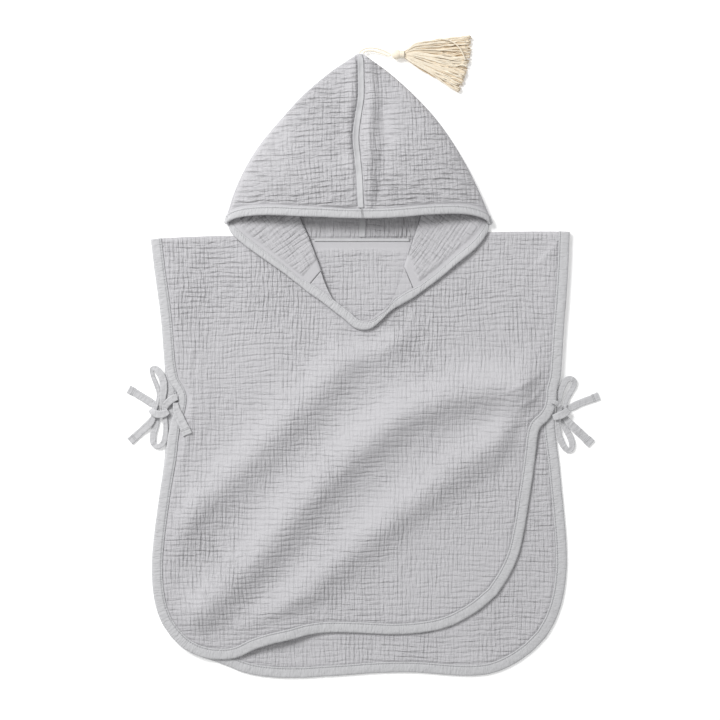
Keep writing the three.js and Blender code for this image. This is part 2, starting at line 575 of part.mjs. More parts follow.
// The ties. Each row: x, y, height of the middle, and the width as a share of TIE_HALF.
const tieSection = [[TIE_HALF, 0], [TIE_HALF - 0.9, TIE_THICK / 2], [0.9 - TIE_HALF, TIE_THICK / 2],
  [-TIE_HALF, 0], [0.9 - TIE_HALF, -TIE_THICK / 2], [TIE_HALF - 0.9, -TIE_THICK / 2]];
const TIES = {
  tie_left_front: [
    [-220.8, -49.8, 9.4, 0.75], [-225, -51, 9.6, 0.9], [-229.8, -54.1, 9.2, 0.95],
    [-234, -58.6, 7.3, 0.9], [-236.2, -64, 5.2, 0.72], [-236.9, -70.2, 5.2, 0.6],
    [-235.7, -77.4, 5.3, 0.6], [-235.1, -87, 5.3, 0.64], [-235.7, -95.4, 5.3, 0.7],
    [-237.8, -104.2, 5, 0.72], [-242.4, -108.6, 3.4, 0.66], [-247.2, -108.6, 2.5, 0.66],
    [-250.3, -105, 2.1, 0.72], [-250.8, -99, 2, 0.8], [-249.6, -90.6, 1.8, 0.85],
    [-247.2, -82.8, 1.6, 0.8], [-245.3, -75, 1.4, 0.6], [-244.8, -66.6, 1.3, 0.5],
    [-247.2, -60.6, 1.3, 0.75], [-253.8, -56, 1.3, 0.98], [-259.8, -52.2, 1.3, 1],
    [-271.2, -45, 1.3, 1], [-280, -40.2, 1.3, 1]
  ],
  tie_left_back: [
    [-238, -73.6, 1.4, 0.4], [-239.3, -66.4, 1.7, 0.4], [-239.5, -58.2, 3.9, 0.58],
    [-238.1, -48.6, 5.3, 0.78], [-237.4, -39, 5.4, 0.9], [-238.6, -29.4, 5.3, 0.95],
    [-242.2, -21, 4.9, 0.92], [-247.2, -15.7, 4.2, 0.75], [-251.8, -16, 3, 0.55],
    [-252.1, -20.5, 2, 0.5], [-249.8, -27.7, 1.6, 0.55], [-246.7, -35.4, 1.6, 0.58],
    [-244.3, -42.6, 1.7, 0.56], [-244.1, -49.3, 2.2, 0.5], [-245.5, -56.3, 3.9, 0.45],
    [-247.7, -64.2, 4.2, 0.5], [-249.4, -71.4, 4.2, 0.6], [-252, -78, 4.2, 0.9],
    [-256.8, -83.4, 3.9, 1], [-265.2, -91.2, 2, 1], [-271.9, -97.3, 1.4, 1],
    [-278.4, -103, 1.3, 1]
  ],
  tie_left_knot: [
    [-253.2, -64.9, 5.5, 0.62], [-251, -67.3, 7.1, 0.8], [-246.6, -69.6, 8.1, 0.95],
    [-241.2, -70.4, 8.4, 0.98], [-235.9, -69.2, 8.1, 0.92], [-231.7, -66.8, 7.5, 0.72]
  ],
  tie_left_tab: [
    [-223, -56.5, 9.35, 0.62], [-222.1, -63, 9.35, 0.9], [-218.2, -73.8, 9.35, 1.1],
    [-213, -84.6, 9.35, 1.15], [-208.8, -94.6, 8.8, 1.15]
  ],
  tie_right_front: [
    [226.8, -55.2, 10.3, 0.5], [231.6, -56.5, 10, 0.58], [235.7, -60.1, 8.4, 0.6],
    [237.1, -66, 5.2, 0.58], [235, -72.6, 4.2, 0.5], [234.4, -79.8, 3.6, 0.52],
    [235.1, -87.6, 2.8, 0.66], [235.9, -95.4, 2.3, 0.78], [238.8, -103, 2.2, 0.8],
    [242.4, -109.8, 2.2, 0.74], [247, -113.4, 2.2, 0.68], [251, -111.4, 2.1, 0.7],
    [251.6, -104.4, 2, 0.8], [248.9, -96.6, 1.8, 0.84], [244.8, -89, 1.6, 0.8],
    [241.4, -82.2, 1.5, 0.62], [240, -75, 1.4, 0.44], [241.7, -68.4, 1.3, 0.46],
    [246.6, -64.2, 1.3, 0.8], [253.2, -61, 1.3, 0.95], [261.6, -57, 1.3, 0.95],
    [273.6, -52.6, 1.3, 0.95], [283.9, -48.4, 1.3, 0.97]
  ],
  tie_right_back: [
    [233.5, -73.2, 1.4, 0.34], [234.2, -66, 1.7, 0.36], [235.4, -58.4, 2.9, 0.48],
    [236.8, -51, 3.6, 0.7], [238.3, -42.6, 4, 0.82], [241, -35.4, 4, 0.86],
    [244.8, -29.6, 4, 0.8], [249.6, -27.7, 3.8, 0.7], [253.9, -30.6, 3.2, 0.7],
    [253.2, -36.8, 2.2, 0.8], [249.5, -43.8, 1.7, 0.82], [246.2, -50.4, 1.7, 0.76],
    [243.6, -57, 3.2, 0.6], [242.6, -63, 4, 0.5], [242.6, -69.6, 4.2, 0.5],
    [244.3, -75.6, 4.2, 0.8], [248.9, -81.4, 4.2, 1], [253.2, -85.6, 3.9, 1.04],
    [258.5, -90.4, 3, 1.06], [266.4, -97.8, 1.6, 1.1], [275, -106, 1.3, 1.1]
  ],
  tie_right_knot: [
    [228.8, -74.3, 6.8, 0.7], [232.6, -73.2, 8.2, 0.9], [238.2, -71.2, 8.9, 1],
    [243.6, -68.5, 7.9, 0.95], [247.4, -65.3, 5.9, 0.8]
  ],
};

// The tassel. Sections of the head, the wrapped neck and the core of the skirt: x, half width, half height.
const TASSEL_Y = 360.5;
const TASSEL_BODY = [[35.4, 1.2, 1.2], [36.6, 3.6, 3.4], [38.8, 5.5, 4.8], [41.2, 6.2, 5.3],
  [43.8, 5.7, 4.9], [46, 4.2, 4.1], [47.2, 4.7, 4.5], [50.6, 4.7, 4.5], [51.2, 4.1, 4],
  [54, 6.6, 4.1], [58, 10.2, 3.9], [63, 13, 3.4], [66, 13.4, 2.6]];
// A strand of the skirt passes these lines, each from its lower to its upper side.
const SKIRT_LINES = [[[52, 357.6], [52, 363.4]], [[61, 349], [60, 371.6]], [[87, 334.6], [84, 377]],
  [[119, 317.4], [132.6, 384]]];
const TASSEL_LOOP = [[-3, 362.3, 6.6], [-0.4, 365.2, 6], [4.6, 367.6, 5.4], [10.8, 368.4, 4.8],
  [17.4, 367.8, 4.6], [26, 365.2, 4.6], [31.8, 362.5, 4.8], [33.9, 361.2, 5], [34.3, 360.1, 5],
  [33.4, 359.1, 5], [31, 359.2, 4.8], [26, 361.2, 4.4], [19.4, 363.1, 4.4], [13.2, 364.6, 4.9],
  [6.8, 365, 5.6], [2.8, 363.6, 6.2], [1.6, 361.8, 6.4]];
const round = (n, a, b = a) => Array.from({ length: n }, (_, k) =>
  [a * Math.cos((2 * Math.PI * k) / n), b * Math.sin((2 * Math.PI * k) / n)]);

const group = new THREE.Group();
const piece = (name, geometry, kind) => {
  const mesh = new THREE.Mesh(geometry, new THREE.MeshStandardMaterial(LOOKS[kind]));
  mesh.name = name;
  group.add(mesh);
};

piece("back_panel", facingOut(back.surface.wall(CLOTH)), "muslin");
piece("front_panel", facingOut(front.surface.wall(CLOTH)), "muslin");
piece("back_binding", bodyBinding(back), "binding");
piece("front_binding", bodyBinding(front), "binding");
piece("hood_left", facingOut(sheet(hoodHalf(HOOD.left)).wall(CLOTH)), "muslin");
piece("hood_right", facingOut(sheet(hoodHalf(HOOD.right)).wall(CLOTH)), "muslin");
piece("hood_binding", sweep(mouthFrames(), bindingSection(HOOD_BIND_WIDTH, 0.42), true), "binding");
piece("neck_facing", facingOut(sheet(facingRows()).wall(CLOTH)), "muslin");
piece("hood_seam_tape", facingOut(sheet(crownTape()).wall(TAPE)), "binding");
const backTape = strip([[-0.2, 240], [0.3, 142]], 5, 3.6, FLOOR + 1.4);
const neckTape = strip([[-57, 138.7], [57, 138.7]], 8, 1.7, FLOOR + 1.4);
piece("hood_back_tape", facingOut(sheet(backTape).wall(TAPE)), "binding");
piece("neck_tape", facingOut(sheet(neckTape).wall(TAPE)), "binding");
for (const [name, rows] of Object.entries(TIES))
  piece(name, sweep(pathFrames(rows), tieSection, false), "binding");
piece("tassel_loop", sweep(pathFrames(TASSEL_LOOP), round(8, LOOP_HALF), false), "tassel");

// The tassel's strands are joined to its body, so that it is one solid.
const wasm = await Module();
wasm.setup();
const asSolid = (g) => new wasm.Manifold(new wasm.Mesh({ numProp: 3,
  vertProperties: g.getAttribute("position").array, triVerts: new Uint32Array(g.index.array) }));
const body = sweep(
  TASSEL_BODY.map(([x]) => ({ at: new THREE.Vector3(x, TASSEL_Y, 5.6), e: new THREE.Vector3(0, 1, 0),
    n: new THREE.Vector3(0, 0, 1) })),
  TASSEL_BODY.map(([, a, b]) => round(12, a, b)), false);
const noise = (k, c) => ((Math.sin(k * 12.9898 + c * 78.233) * 43758.5453) % 1 + 1) % 1;
const strands = Array.from({ length: STRANDS }, (_, k) => {
  const layer = k % 4;
  const f = (k + 0.5) / STRANDS + 0.004 * (noise(k, 1) - 0.5);
  const rows = SKIRT_LINES.map(([a, b], j) => {
    const bow = j === 3 ? 4.5 * Math.sin(Math.PI * f) - 7 * noise(k, 2) : 0;
    const height = [4.2 + 0.9 * layer, 3.1 + 1.5 * layer, 1.3 + 1.7 * layer,
      0.95 + 1.15 * layer + 0.4 * noise(k, 3)];
    return [lerp(a[0], b[0], f) + bow, lerp(a[1], b[1], f), height[j]];
  });
  return asSolid(sweep(pathFrames(rows), round(3, STRAND_HALF), false));
});
const joined = wasm.Manifold.union([asSolid(body), ...strands]).getMesh();
const tassel = new THREE.BufferGeometry()
  .setAttribute("position",
    new THREE.BufferAttribute(new Float32Array(joined.vertProperties), joined.numProp));
tassel.setIndex([...joined.triVerts]);
tassel.computeVertexNormals();
piece("tassel", tassel, "tassel");

export default group;
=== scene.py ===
"""A hooded bath poncho of crinkled muslin, laid flat face up on a white surface."""
import math

import bmesh
import bpy
import numpy as np
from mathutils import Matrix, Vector


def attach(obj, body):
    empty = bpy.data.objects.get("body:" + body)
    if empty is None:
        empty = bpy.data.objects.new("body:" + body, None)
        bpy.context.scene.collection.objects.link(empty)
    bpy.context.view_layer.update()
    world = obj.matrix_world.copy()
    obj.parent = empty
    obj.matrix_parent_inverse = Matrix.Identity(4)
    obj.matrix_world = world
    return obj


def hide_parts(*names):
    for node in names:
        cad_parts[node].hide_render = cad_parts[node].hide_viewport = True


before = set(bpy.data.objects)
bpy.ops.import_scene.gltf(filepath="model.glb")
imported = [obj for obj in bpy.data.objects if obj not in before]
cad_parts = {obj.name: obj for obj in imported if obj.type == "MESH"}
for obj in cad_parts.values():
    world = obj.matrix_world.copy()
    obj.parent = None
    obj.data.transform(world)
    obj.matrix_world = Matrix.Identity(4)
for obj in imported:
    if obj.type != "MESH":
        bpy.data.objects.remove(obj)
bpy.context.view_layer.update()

bl_info = {
    "name": "Hooded bath poncho",
    "version": (1, 0, 0),
    "blender": (4, 5, 0),
    "location": "3D View > Sidebar > Poncho",
    "description": "Builds a laid-out hooded bath poncho of crinkled muslin",
    "category": "Add Mesh",
}

MM = 0.001
CLOTH = 1.2
GAP = 0.3
BIND_HALF = 1.9
BIND_WIDTH = 11.4
HOOD_BIND_WIDTH = 9.2
INSET = 13.0
# Heights of the front's edge over the back's binding and over its cloth, and how far its hem curls up.
OVER_BINDING = 3 * BIND_HALF + GAP
OVER_BACK = CLOTH + GAP + BIND_HALF + 0.4
HEM_RISE = 6.2
# The hood: its lowest layer, its crown at the tip and the mouth, the bound share of a lapel's lower
# border, the pleat's reach below the fold, and the row where the mouth's band begins.
FLOOR = CLOTH / 2 + 0.02
CROWN_TIP = 3.5
CROWN_MOUTH = 15
CORNER = 0.84
UNDER = 9
UNDER_TIP = 1.3
MOUTH_ROW = 0.95
FACING_Z = 6.22
TAPE = 0.8
# Ties, the tassel and its loop.
TIE_HALF = 4.7
TIE_THICK = 2.2
TIE_HEM = 8.5
LOOP_HALF = 0.95
TASSEL_Y = 360.5
# The stage, in metres: where the camera's axis meets the floor, and which way the softbox lies.
PICTURE_MIDDLE = (-0.0024, -0.0054)
SOFTBOX_SIDE = (-0.62, 0.62, 0.85)
# The floor's faint glow of its own: painted light, which keeps the shadows on it pale.
BACKDROP_GLOW = 0.22

# Outlines in millimetres, each a row of (x, y).
FRONT_LEFT = [[-251.6, 139.2], [-247.2, 102.6], [-243, 72.6], [-239.3, 42.6], [-236.9, 12.6],
              [-234.8, -10.2], [-229.3, -30.6], [-221.4, -42.6], [-218.6, -51], [-221, -63],
              [-226.6, -76.2], [-230.9, -96.6], [-234, -123], [-238.6, -149.4], [-245.4, -197.4],
              [-249.6, -235.8], [-250.1, -264.6], [-247, -293.4], [-239.4, -317.4], [-228, -335.2]]
FRONT_HEM = [[-228, -335.2], [-214.8, -348.2], [-199.4, -357], [-184.1, -361.3], [-170.4, -362.3],
             [-156, -361.6], [-144, -358], [-129.6, -350.8], [-110.4, -344.2], [-86.4, -338.8],
             [-62.4, -332.8], [-38.4, -330.4], [-6, -331], [39.6, -332.8], [69.6, -330.8],
             [93.6, -326.5], [115.2, -318.4], [139.2, -304], [160.2, -286.2]]
FRONT_RIGHT = [[247.2, 148.2], [245.5, 105], [243.1, 66.6], [240.2, 30.6], [238, -5.4], [236, -27],
               [232.3, -41.4], [231.5, -53.4], [228.4, -66], [221.4, -76.8], [212.2, -85.8],
               [208.7, -97.8], [206.8, -115.8], [203.2, -144.6], [198.4, -175.8], [192.5, -211.8],
               [185.4, -240.6], [174, -265.2], [160.2, -286.2]]
BACK_LEFT = [[-251.6, 139.2], [-247.2, 102.6], [-243, 72.6], [-239.3, 42.6], [-236.9, 12.6],
             [-235.2, -17.4], [-234, -47.4], [-233.5, -77.4], [-234.7, -113.4], [-238.6, -149.4],
             [-245.4, -197.4], [-249.6, -235.8], [-250.1, -264.6], [-247, -293.4],
             [-239.4, -317.4], [-228, -335.2]]
BACK_HEM = [[-228, -335.2], [-213.6, -349], [-196.8, -358.6], [-174.5, -365.9], [-159.2, -371.6],
            [-144, -377.8], [-128.4, -381.8], [-104.4, -384.6], [-74.4, -385.1], [-46.8, -383.6],
            [-18, -381.8], [20.4, -379.2], [63.4, -378.6], [109.2, -382], [132.2, -382.4],
            [155.2, -379.7], [178.1, -370.6], [201.1, -355.2], [219.5, -337]]
BACK_RIGHT = [[247.2, 148.2], [245.5, 105], [243.1, 66.6], [240.2, 30.6], [238, -5.4],
              [234.7, -33], [230.9, -55.8], [229.4, -77.4], [231.1, -99], [234.5, -125.4],
              [237.6, -156.6], [241, -192.6], [243.6, -227.4], [243.8, -257.4], [239.5, -289.8],
              [231.1, -316.2], [219.5, -337]]
SHOULDER_LEFT = [[-251.6, 139.2], [-240, 140.3], [-206.4, 142.3], [-158.4, 143.4], [-84, 140.4]]
SHOULDER_RIGHT = [[81.6, 145.2], [154.8, 147.8], [207.6, 148.7], [247.2, 148.2]]
FRONT_NECK = [[-84, 140.4], [-69.6, 112.2], [-60, 87], [-44.4, 63], [-20.4, 45], [1.2, 36.8],
              [22.8, 46.2], [43.2, 64.2], [58.8, 87], [68.4, 112.2], [81.6, 145.2]]
BACK_SHOULDER_LEFT = [[-251.6, 139.2], [-240, 140.3], [-206.4, 142.3], [-158.4, 143.4],
                      [-63.6, 138.5]]
BACK_NECK = [[-63.6, 138.5], [63.6, 138.5]]
BACK_SHOULDER_RIGHT = [[63.6, 138.5], [154.8, 147.8], [207.6, 148.7], [247.2, 148.2]]
SEAM_TOP = [[-1.8, 361.4], [-1.2, 310.2], [-4.2, 288.6], [-6.8, 270.6], [-7.4, 257.4],
            [-5.6, 238.2], [-3.2, 213], [-2, 186.6], [-0.6, 164.4]]
BACK_SEAM = [[-1.6, 360.2], [-1.2, 282.6], [-0.2, 210.6], [0.4, 138.9]]
HOOD_LEFT = {
    "side": -1,
    "edge": [[-6.6, 359.9], [-37.2, 339.8], [-70.8, 311.4], [-97.2, 282.6], [-121.2, 253.8],
             [-139.2, 225], [-152.4, 196.2], [-160.2, 172.2], [-163.4, 159]],
    "bar": [[-0.6, 164.4], [-26.4, 165], [-50.4, 166.2], [-74.4, 167], [-106.8, 168.6],
            [-132, 167.9], [-151.2, 164.8], [-163.4, 159]],
    "diagonal": [[-163.4, 159], [-159, 149.4], [-142.8, 135.2], [-120, 118.6], [-93.6, 99.8],
                 [-67.8, 79.4]],
    "seam": [[-67.8, 79.4], [-49.8, 100.8]],
    "fold": [[-4.8, 358.8], [-31.2, 318.6], [-56.4, 277.8], [-70.8, 237], [-77.4, 198.6],
             [-75, 166.2], [-64.2, 140.4], [-49.8, 100.8]],
    "neck": -63.6, "shoulder": 143.4, "lift": 10,
}
HOOD_RIGHT = {
    "side": 1,
    "edge": [[3.2, 359.2], [30.6, 339.8], [62.4, 311.4], [88.8, 282.6], [109.2, 253.8],
             [126, 225], [139.8, 196.2], [150, 172.2], [155, 158.4]],
    "bar": [[-0.6, 164.4], [24, 164.8], [48, 166.2], [75.6, 168.6], [105.6, 170], [127.2, 169.1],
            [144, 165], [155, 158.4]],
    "diagonal": [[155, 158.4], [152.2, 148.8], [136.8, 130.2], [115.2, 112.4], [90.6, 91.6],
                 [64.8, 72.6]],
    "seam": [[64.8, 72.6], [51.4, 105]],
    "fold": [[1.6, 358.8], [26.4, 318.6], [51.6, 277.8], [66, 237], [73.8, 198.6], [70.8, 166.2],
             [63, 142.2], [51.4, 105]],
    "neck": 63.6, "shoulder": 147.8, "lift": 11,
}
FACING_OUT = [[-67.5, 79], [-50.4, 67.8], [-31.2, 52.9], [-19.2, 43.6], [-9, 34.9], [1.2, 31.8],
              [11.8, 33.8], [22.8, 42.6], [35.3, 54.8], [50.4, 64.2], [64.5, 72.2]]
FACING_IN = [[-49.4, 100.2], [-40.2, 77], [-28.8, 59.4], [-15.8, 50.4], [-5.6, 43.4], [1.2, 42],
             [10.8, 44.2], [19.8, 51], [31.8, 60], [43.2, 82.8], [51, 104.4]]

# Ridges and troughs: height, half width, then points along the crest.
PULLS = [
    (1.3, 3.0, [[-204, 6], [-206, -28], [-203, -62], [-207, -100]]),
    (1.0, 2.6, [[-195, -8], [-194, -40], [-192, -72], [-194, -104]]),
    (1.2, 3.0, [[-214, -70], [-210, -92], [-214, -126]]),
    (0.8, 2.4, [[-185, -20], [-184, -58], [-186, -92]]),
    (1.2, 2.8, [[219, -34], [205, -52], [188, -62]]),
    (1.1, 2.6, [[214, -20], [196, -34], [176, -42]]),
    (1.0, 2.6, [[208, -74], [194, -80], [178, -84]]),
]
FRONT_FOLDS = [
    (10.5, 24, [[-236, -212], [-190, -176], [-140, -130], [-90, -80], [-42, -30], [-4, 8], [32, 26]]),
    (14, 25, [[-218, -329], [-204, -317], [-169, -286], [-125, -242], [-79, -186], [-13, -118],
              [48, -71], [110, -47], [170, -38], [222, -36]]),
    (10, 22, [[-122, -326], [-78, -290], [-20, -241], [45, -188], [109, -140], [170, -97], [206, -74]]),
]
HOOD_FOLDS = [
    (3.4, 7, [[-9, 350], [-12.5, 310], [-14.5, 280], [-15, 255], [-13, 225]]),
    (3.4, 6.5, [[8.4, 352.2], [12, 312.6], [7.6, 264.6], [8.4, 216.6], [10.8, 180.6]]),
    (-3.8, 8.5, [[25, 295], [27, 258], [24, 215], [18, 182]]),
    (-3, 8, [[-5, 292], [-7, 264.6], [-5, 240.6]]),
]


# Measures along rows of points.
def smooth(a, b, x):
    f = np.clip((np.asarray(x, float) - a) / (b - a), 0, 1)
    return f * f * (3 - 2 * f)


def lerp(a, b, f):
    return a + (b - a) * f


class Line:
    """A smooth line through points, measured by its length. It takes arrays of shares."""

    def __init__(self, points):
        self.p = np.asarray(points, float)
        step = np.linalg.norm(np.diff(self.p[:, :2], axis=0), axis=1)
        self.reach = np.concatenate([[0], np.cumsum(step)])
        n = len(self.p)
        before = np.maximum(np.arange(n) - 1, 0)
        after = np.minimum(np.arange(n) + 1, n - 1)
        self.slope = (self.p[after] - self.p[before]) / (self.reach[after] - self.reach[before])[:, None]

    def __call__(self, t):
        want = np.clip(np.asarray(t, float), 0, 1) * self.reach[-1]
        i = np.clip(np.searchsorted(self.reach, want, "right") - 1, 0, len(self.p) - 2)
        step = self.reach[i + 1] - self.reach[i]
        f = ((want - self.reach[i]) / step)[..., None]
        step = step[..., None]
        f2, f3 = f * f, f * f * f
        return ((2 * f3 - 3 * f2 + 1) * self.p[i] + (f3 - 2 * f2 + f) * step * self.slope[i]
                + (3 * f2 - 2 * f3) * self.p[i + 1] + (f3 - f2) * step * self.slope[i + 1])


class Chain:
    """Several lines end to end, each given its share, so that corners between them stay sharp."""

    def __init__(self, *parts):
        self.lines = [Line(points) for points, _ in parts]
        self.ends = np.cumsum([share for _, share in parts]) / sum(share for _, share in parts)

    def __call__(self, t):
        t = np.asarray(t, float)
        out = np.zeros(t.shape + (2,))
        start = 0.0
        for k, (line, end) in enumerate(zip(self.lines, self.ends)):
            here = (t >= start) if k == len(self.ends) - 1 else (t >= start) & (t < end)
            if here.any():
                out[here] = line((t[here] - start) / (end - start))
            start = end
        return out


def distance_to(points, x, y):
    best = np.full(np.shape(x), np.inf)
    for (ax, ay), (bx, by) in zip(points, points[1:]):
        dx, dy = bx - ax, by - ay
        f = np.clip(((x - ax) * dx + (y - ay) * dy) / (dx * dx + dy * dy), 0, 1)
        best = np.minimum(best, np.hypot(x - ax - f * dx, y - ay - f * dy))
    return best


def fold_height(folds, x, y):
    return sum(h * np.exp(-((distance_to(crest, x, y) / w) ** 2)) for h, w, crest in folds)


def coons(top, bottom, left, right, s, v):
    t, b, l, r = top(s), bottom(s), left(v), right(v)
    z, o = np.zeros(1), np.ones(1)
    s2, v2 = s[..., None], v[..., None]
    return (lerp(t, b, v2) + lerp(l, r, s2)
            - lerp(lerp(left(z)[0], right(z)[0], s2), lerp(left(o)[0], right(o)[0], s2), v2))


def value_noise(x, y, seed=0):
    """Smooth noise from -1 to 1 with features about one unit across."""
    x, y = np.broadcast_arrays(np.asarray(x, float), np.asarray(y, float))
    xi, yi = np.floor(x).astype(np.int64), np.floor(y).astype(np.int64)
    fx, fy = x - xi, y - yi
    fx, fy = fx * fx * (3 - 2 * fx), fy * fy * (3 - 2 * fy)

    def corner(i, j):
        h = (i * 374761393 + j * 668265263 + seed * 974634777) & 0xFFFFFFFF
        h = ((h ^ (h >> 13)) * 1274126177) & 0xFFFFFFFF
        return ((h ^ (h >> 16)) & 0xFFFF) / 32767.5 - 1

    return lerp(lerp(corner(xi, yi), corner(xi + 1, yi), fx),
                lerp(corner(xi, yi + 1), corner(xi + 1, yi + 1), fx), fy)


def crinkle(x, y, seed=0, turn=0.0, across=1.0, along=1.0):
    """Puckers of double gauze: a soft height, then where each point lies in the rows and columns of
    puckers, counted in puckers, and how strong the rows and the columns are there."""
    c, s = math.cos(turn), math.sin(turn)
    u, v = x * c + y * s, y * c - x * s
    wu = 3.0 * value_noise(u / 70, v / 85, seed + 1) + 0.6 * value_noise(u / 18, v / 30, seed + 2)
    wv = 3.4 * value_noise(u / 95, v / 60, seed + 3) + 1.1 * value_noise(u / 34, v / 17, seed + 4)
    pu = (u + wu) / 5.1
    pv = (v + wv) / 6.3
    rows = np.full_like(u, across) * (0.8 + 0.35 * value_noise(u / 60, v / 45, seed + 5))
    columns = np.full_like(u, along) * (0.75 + 0.45 * value_noise(u / 40, v / 70, seed + 6))
    height = (0.34 * value_noise(u / 17, v / 8.5, seed + 7) * rows
              + 0.22 * value_noise(u / 7.5, v / 15, seed + 8) * columns
              + 0.16 * value_noise(u / 8, v / 5.2, seed + 9))
    return height, pu, pv, rows, columns


# Panels of the body. A grid's first row is the top edge, its columns run from left to right.
def edge_heights_back(p):
    x, y = p[:, 0], p[:, 1]
    top = lerp(BIND_HALF, CLOTH / 2, smooth(0, 34, 246 - np.abs(x)))
    return np.where(y > 132, top, BIND_HALF)


def edge_heights_front(p, part):
    x, y = p[:, 0], p[:, 1]
    top = lerp(OVER_BINDING, 2.1, smooth(0, 34, 246 - np.abs(x)))
    right = lerp(OVER_BACK, OVER_BINDING, smooth(-128, -98, y))
    hem = (lerp(OVER_BINDING, OVER_BACK, smooth(-132, -96, x))
           + HEM_RISE * np.exp(-(((x + 96) / 34) ** 2)))
    left = np.full(len(p), OVER_BINDING)
    return np.select([part == 0, part == 1, part == 2], [top, right, hem], left)


def border(sides, count=260):
    """Stations round a panel with the inward direction at each: points, directions, side index."""
    t = np.linspace(0, 1, count, endpoint=False)
    top, right, hem, left = sides
    points = np.concatenate([top(t), right(t), hem(1 - t), left(1 - t)])
    part = np.repeat([0, 1, 2, 3], count)
    tangent = np.roll(points, -1, 0) - np.roll(points, 1, 0)
    tangent /= np.linalg.norm(tangent, axis=1)[:, None]
    inward = np.stack([tangent[:, 1], -tangent[:, 0]], 1)
    return points, inward, part


def nearest(points, x, y):
    """Distance to the closest of the border's points, and its place along them."""
    best = np.full(x.shape, np.inf)
    which = np.zeros(x.shape, int)
    for k in range(len(points)):
        d = (x - points[k, 0]) ** 2 + (y - points[k, 1]) ** 2
        closer = d < best
        best[closer] = d[closer]
        which[closer] = k
    step = (np.roll(points, -1, 0) - np.roll(points, 1, 0)) / 2
    d = step[which]
    f = ((x - points[which, 0]) * d[:, 0] + (y - points[which, 1]) * d[:, 1]) / (d ** 2).sum(1)
    return np.sqrt(best), which + np.clip(f, -0.5, 0.5)


def edge_pull(z_edge, distance, which, base, reach):
    """Height near a border: the border's own, fading to the base further in."""
    fade = np.exp(-((np.maximum(0, distance - INSET) / reach) ** 2))
    # The height of the border is averaged over neighbours, so that no step runs inward.
    span = 9
    even = sum(np.roll(z_edge, k) for k in range(-span, span + 1)) / (2 * span + 1)
    stations = np.arange(-1, len(z_edge) + 1)

    def at(z):
        return np.interp(which, stations, np.concatenate([z[-1:], z, z[:1]]))

    near = smooth(INSET, INSET + 12, distance)
    return base + (lerp(at(z_edge), at(even), near) - base) * fade


BACK_SIDES = (Chain((BACK_SHOULDER_LEFT, 7), (BACK_NECK, 5), (BACK_SHOULDER_RIGHT, 7)),
              Line(BACK_RIGHT), Line(BACK_HEM), Line(BACK_LEFT))
FRONT_SIDES = (Chain((SHOULDER_LEFT, 7), (FRONT_NECK, 12), (SHOULDER_RIGHT, 7)),
               Line(FRONT_RIGHT), Line(FRONT_HEM), Line(FRONT_LEFT))


def back_surface(s, v):
    xy = coons(BACK_SIDES[0], BACK_SIDES[2], BACK_SIDES[3], BACK_SIDES[1], s, v)
    x, y = xy[:, 0], xy[:, 1]
    points, _, _ = border(BACK_SIDES, 150)
    distance, which = nearest(points, x, y)
    z = edge_pull(edge_heights_back(points), distance, which, CLOTH / 2, 11)
    h, pu, pv, a, b = crinkle(x, y, 11, 0.0, 0.8, 1.2)
    free = smooth(9, 15, distance + 8 * smooth(128, 139, y))
    z = z + CLOTH / 2 + free * np.maximum(0, h + 0.55)
    return x, y, z, pu, pv, a * free, b * free


def front_surface(s, v):
    xy = coons(FRONT_SIDES[0], FRONT_SIDES[2], FRONT_SIDES[3], FRONT_SIDES[1], s, v)
    x, y = xy[:, 0], xy[:, 1]
    points, _, part = border(FRONT_SIDES, 150)
    distance, which = nearest(points, x, y)
    z = edge_pull(edge_heights_front(points, part), distance, which, 3.1, 30)
    z = z + fold_height(FRONT_FOLDS, x, y) * smooth(INSET, INSET + 34, distance)
    z = z + fold_height(PULLS, x, y) * smooth(INSET - 1, INSET + 5, distance)
    h, pu, pv, a, b = crinkle(x, y, 23)
    # Pulled smoother where the broad folds run, tighter at the shoulders and the lower left corner.
    upper = smooth(-35, 75, y)
    corner = smooth(150, 60, np.hypot(x + 215, y + 290))
    right = smooth(-60, 130, x)
    a = a * np.maximum(lerp(0.66, 1.0, upper), 0.8 * corner) * lerp(1.0, 0.85, right)
    b = b * lerp(1.0, 1.6, np.maximum(upper, 0.6 * corner)) * lerp(1.0, 0.72, right * upper)
    bound = part[np.rint(which).astype(int) % len(part)] != 0
    free = np.where(bound, smooth(10.5, 14.5, distance), smooth(0, 5, distance))
    z = z + CLOTH / 2 + free * (h + 0.3)
    return x, y, z, pu, pv, a * free, b * free


# The hood. Each half is one cloth: crown, outer fold, lapel, pleat and back.
def edge_roll(v):
    return lerp(1.5, 3.4, smooth(0.5, 1, v))


def hood_low(v):
    return lerp(FLOOR, BIND_HALF, smooth(0.6, 0.95, v))


def hood_top(h, s, v):
    xy = coons(Line([SEAM_TOP[0], h["edge"][0]]), Line(h["bar"]), Line(SEAM_TOP), Line(h["edge"]), s, v)
    x, y = xy[:, 0], xy[:, 1]
    low = hood_low(v) + 2 * edge_roll(v)
    dome = (1 - s ** 3) ** 0.75
    folds = fold_height(HOOD_FOLDS, x, y) * smooth(1, 0.8, s) * smooth(1.02, 0.8, v)
    crown = lerp(CROWN_TIP, CROWN_MOUTH, smooth(0, 0.9, v))
    return np.stack([x + 0.15 * h["side"] * (1 - s), y, low + crown * dome + folds], 1)


def hood_edge(h, f, v):
    line = Line(h["edge"])
    xy = line(v)
    d = line(np.minimum(1, v + 0.02)) - line(np.maximum(0, v - 0.02))
    d = d / np.linalg.norm(d, axis=1)[:, None]
    r = edge_roll(v)
    a = math.pi * f
    o = r * (np.sin(a) - 1)
    return np.stack([xy[:, 0] + h["side"] * np.abs(d[:, 1]) * o, xy[:, 1] + np.abs(d[:, 0]) * o,
                     hood_low(v) + r + r * np.cos(a)], 1)


def under_reach(v):
    return lerp(UNDER_TIP, UNDER, np.minimum(1, np.asarray(v, float) / 0.17))


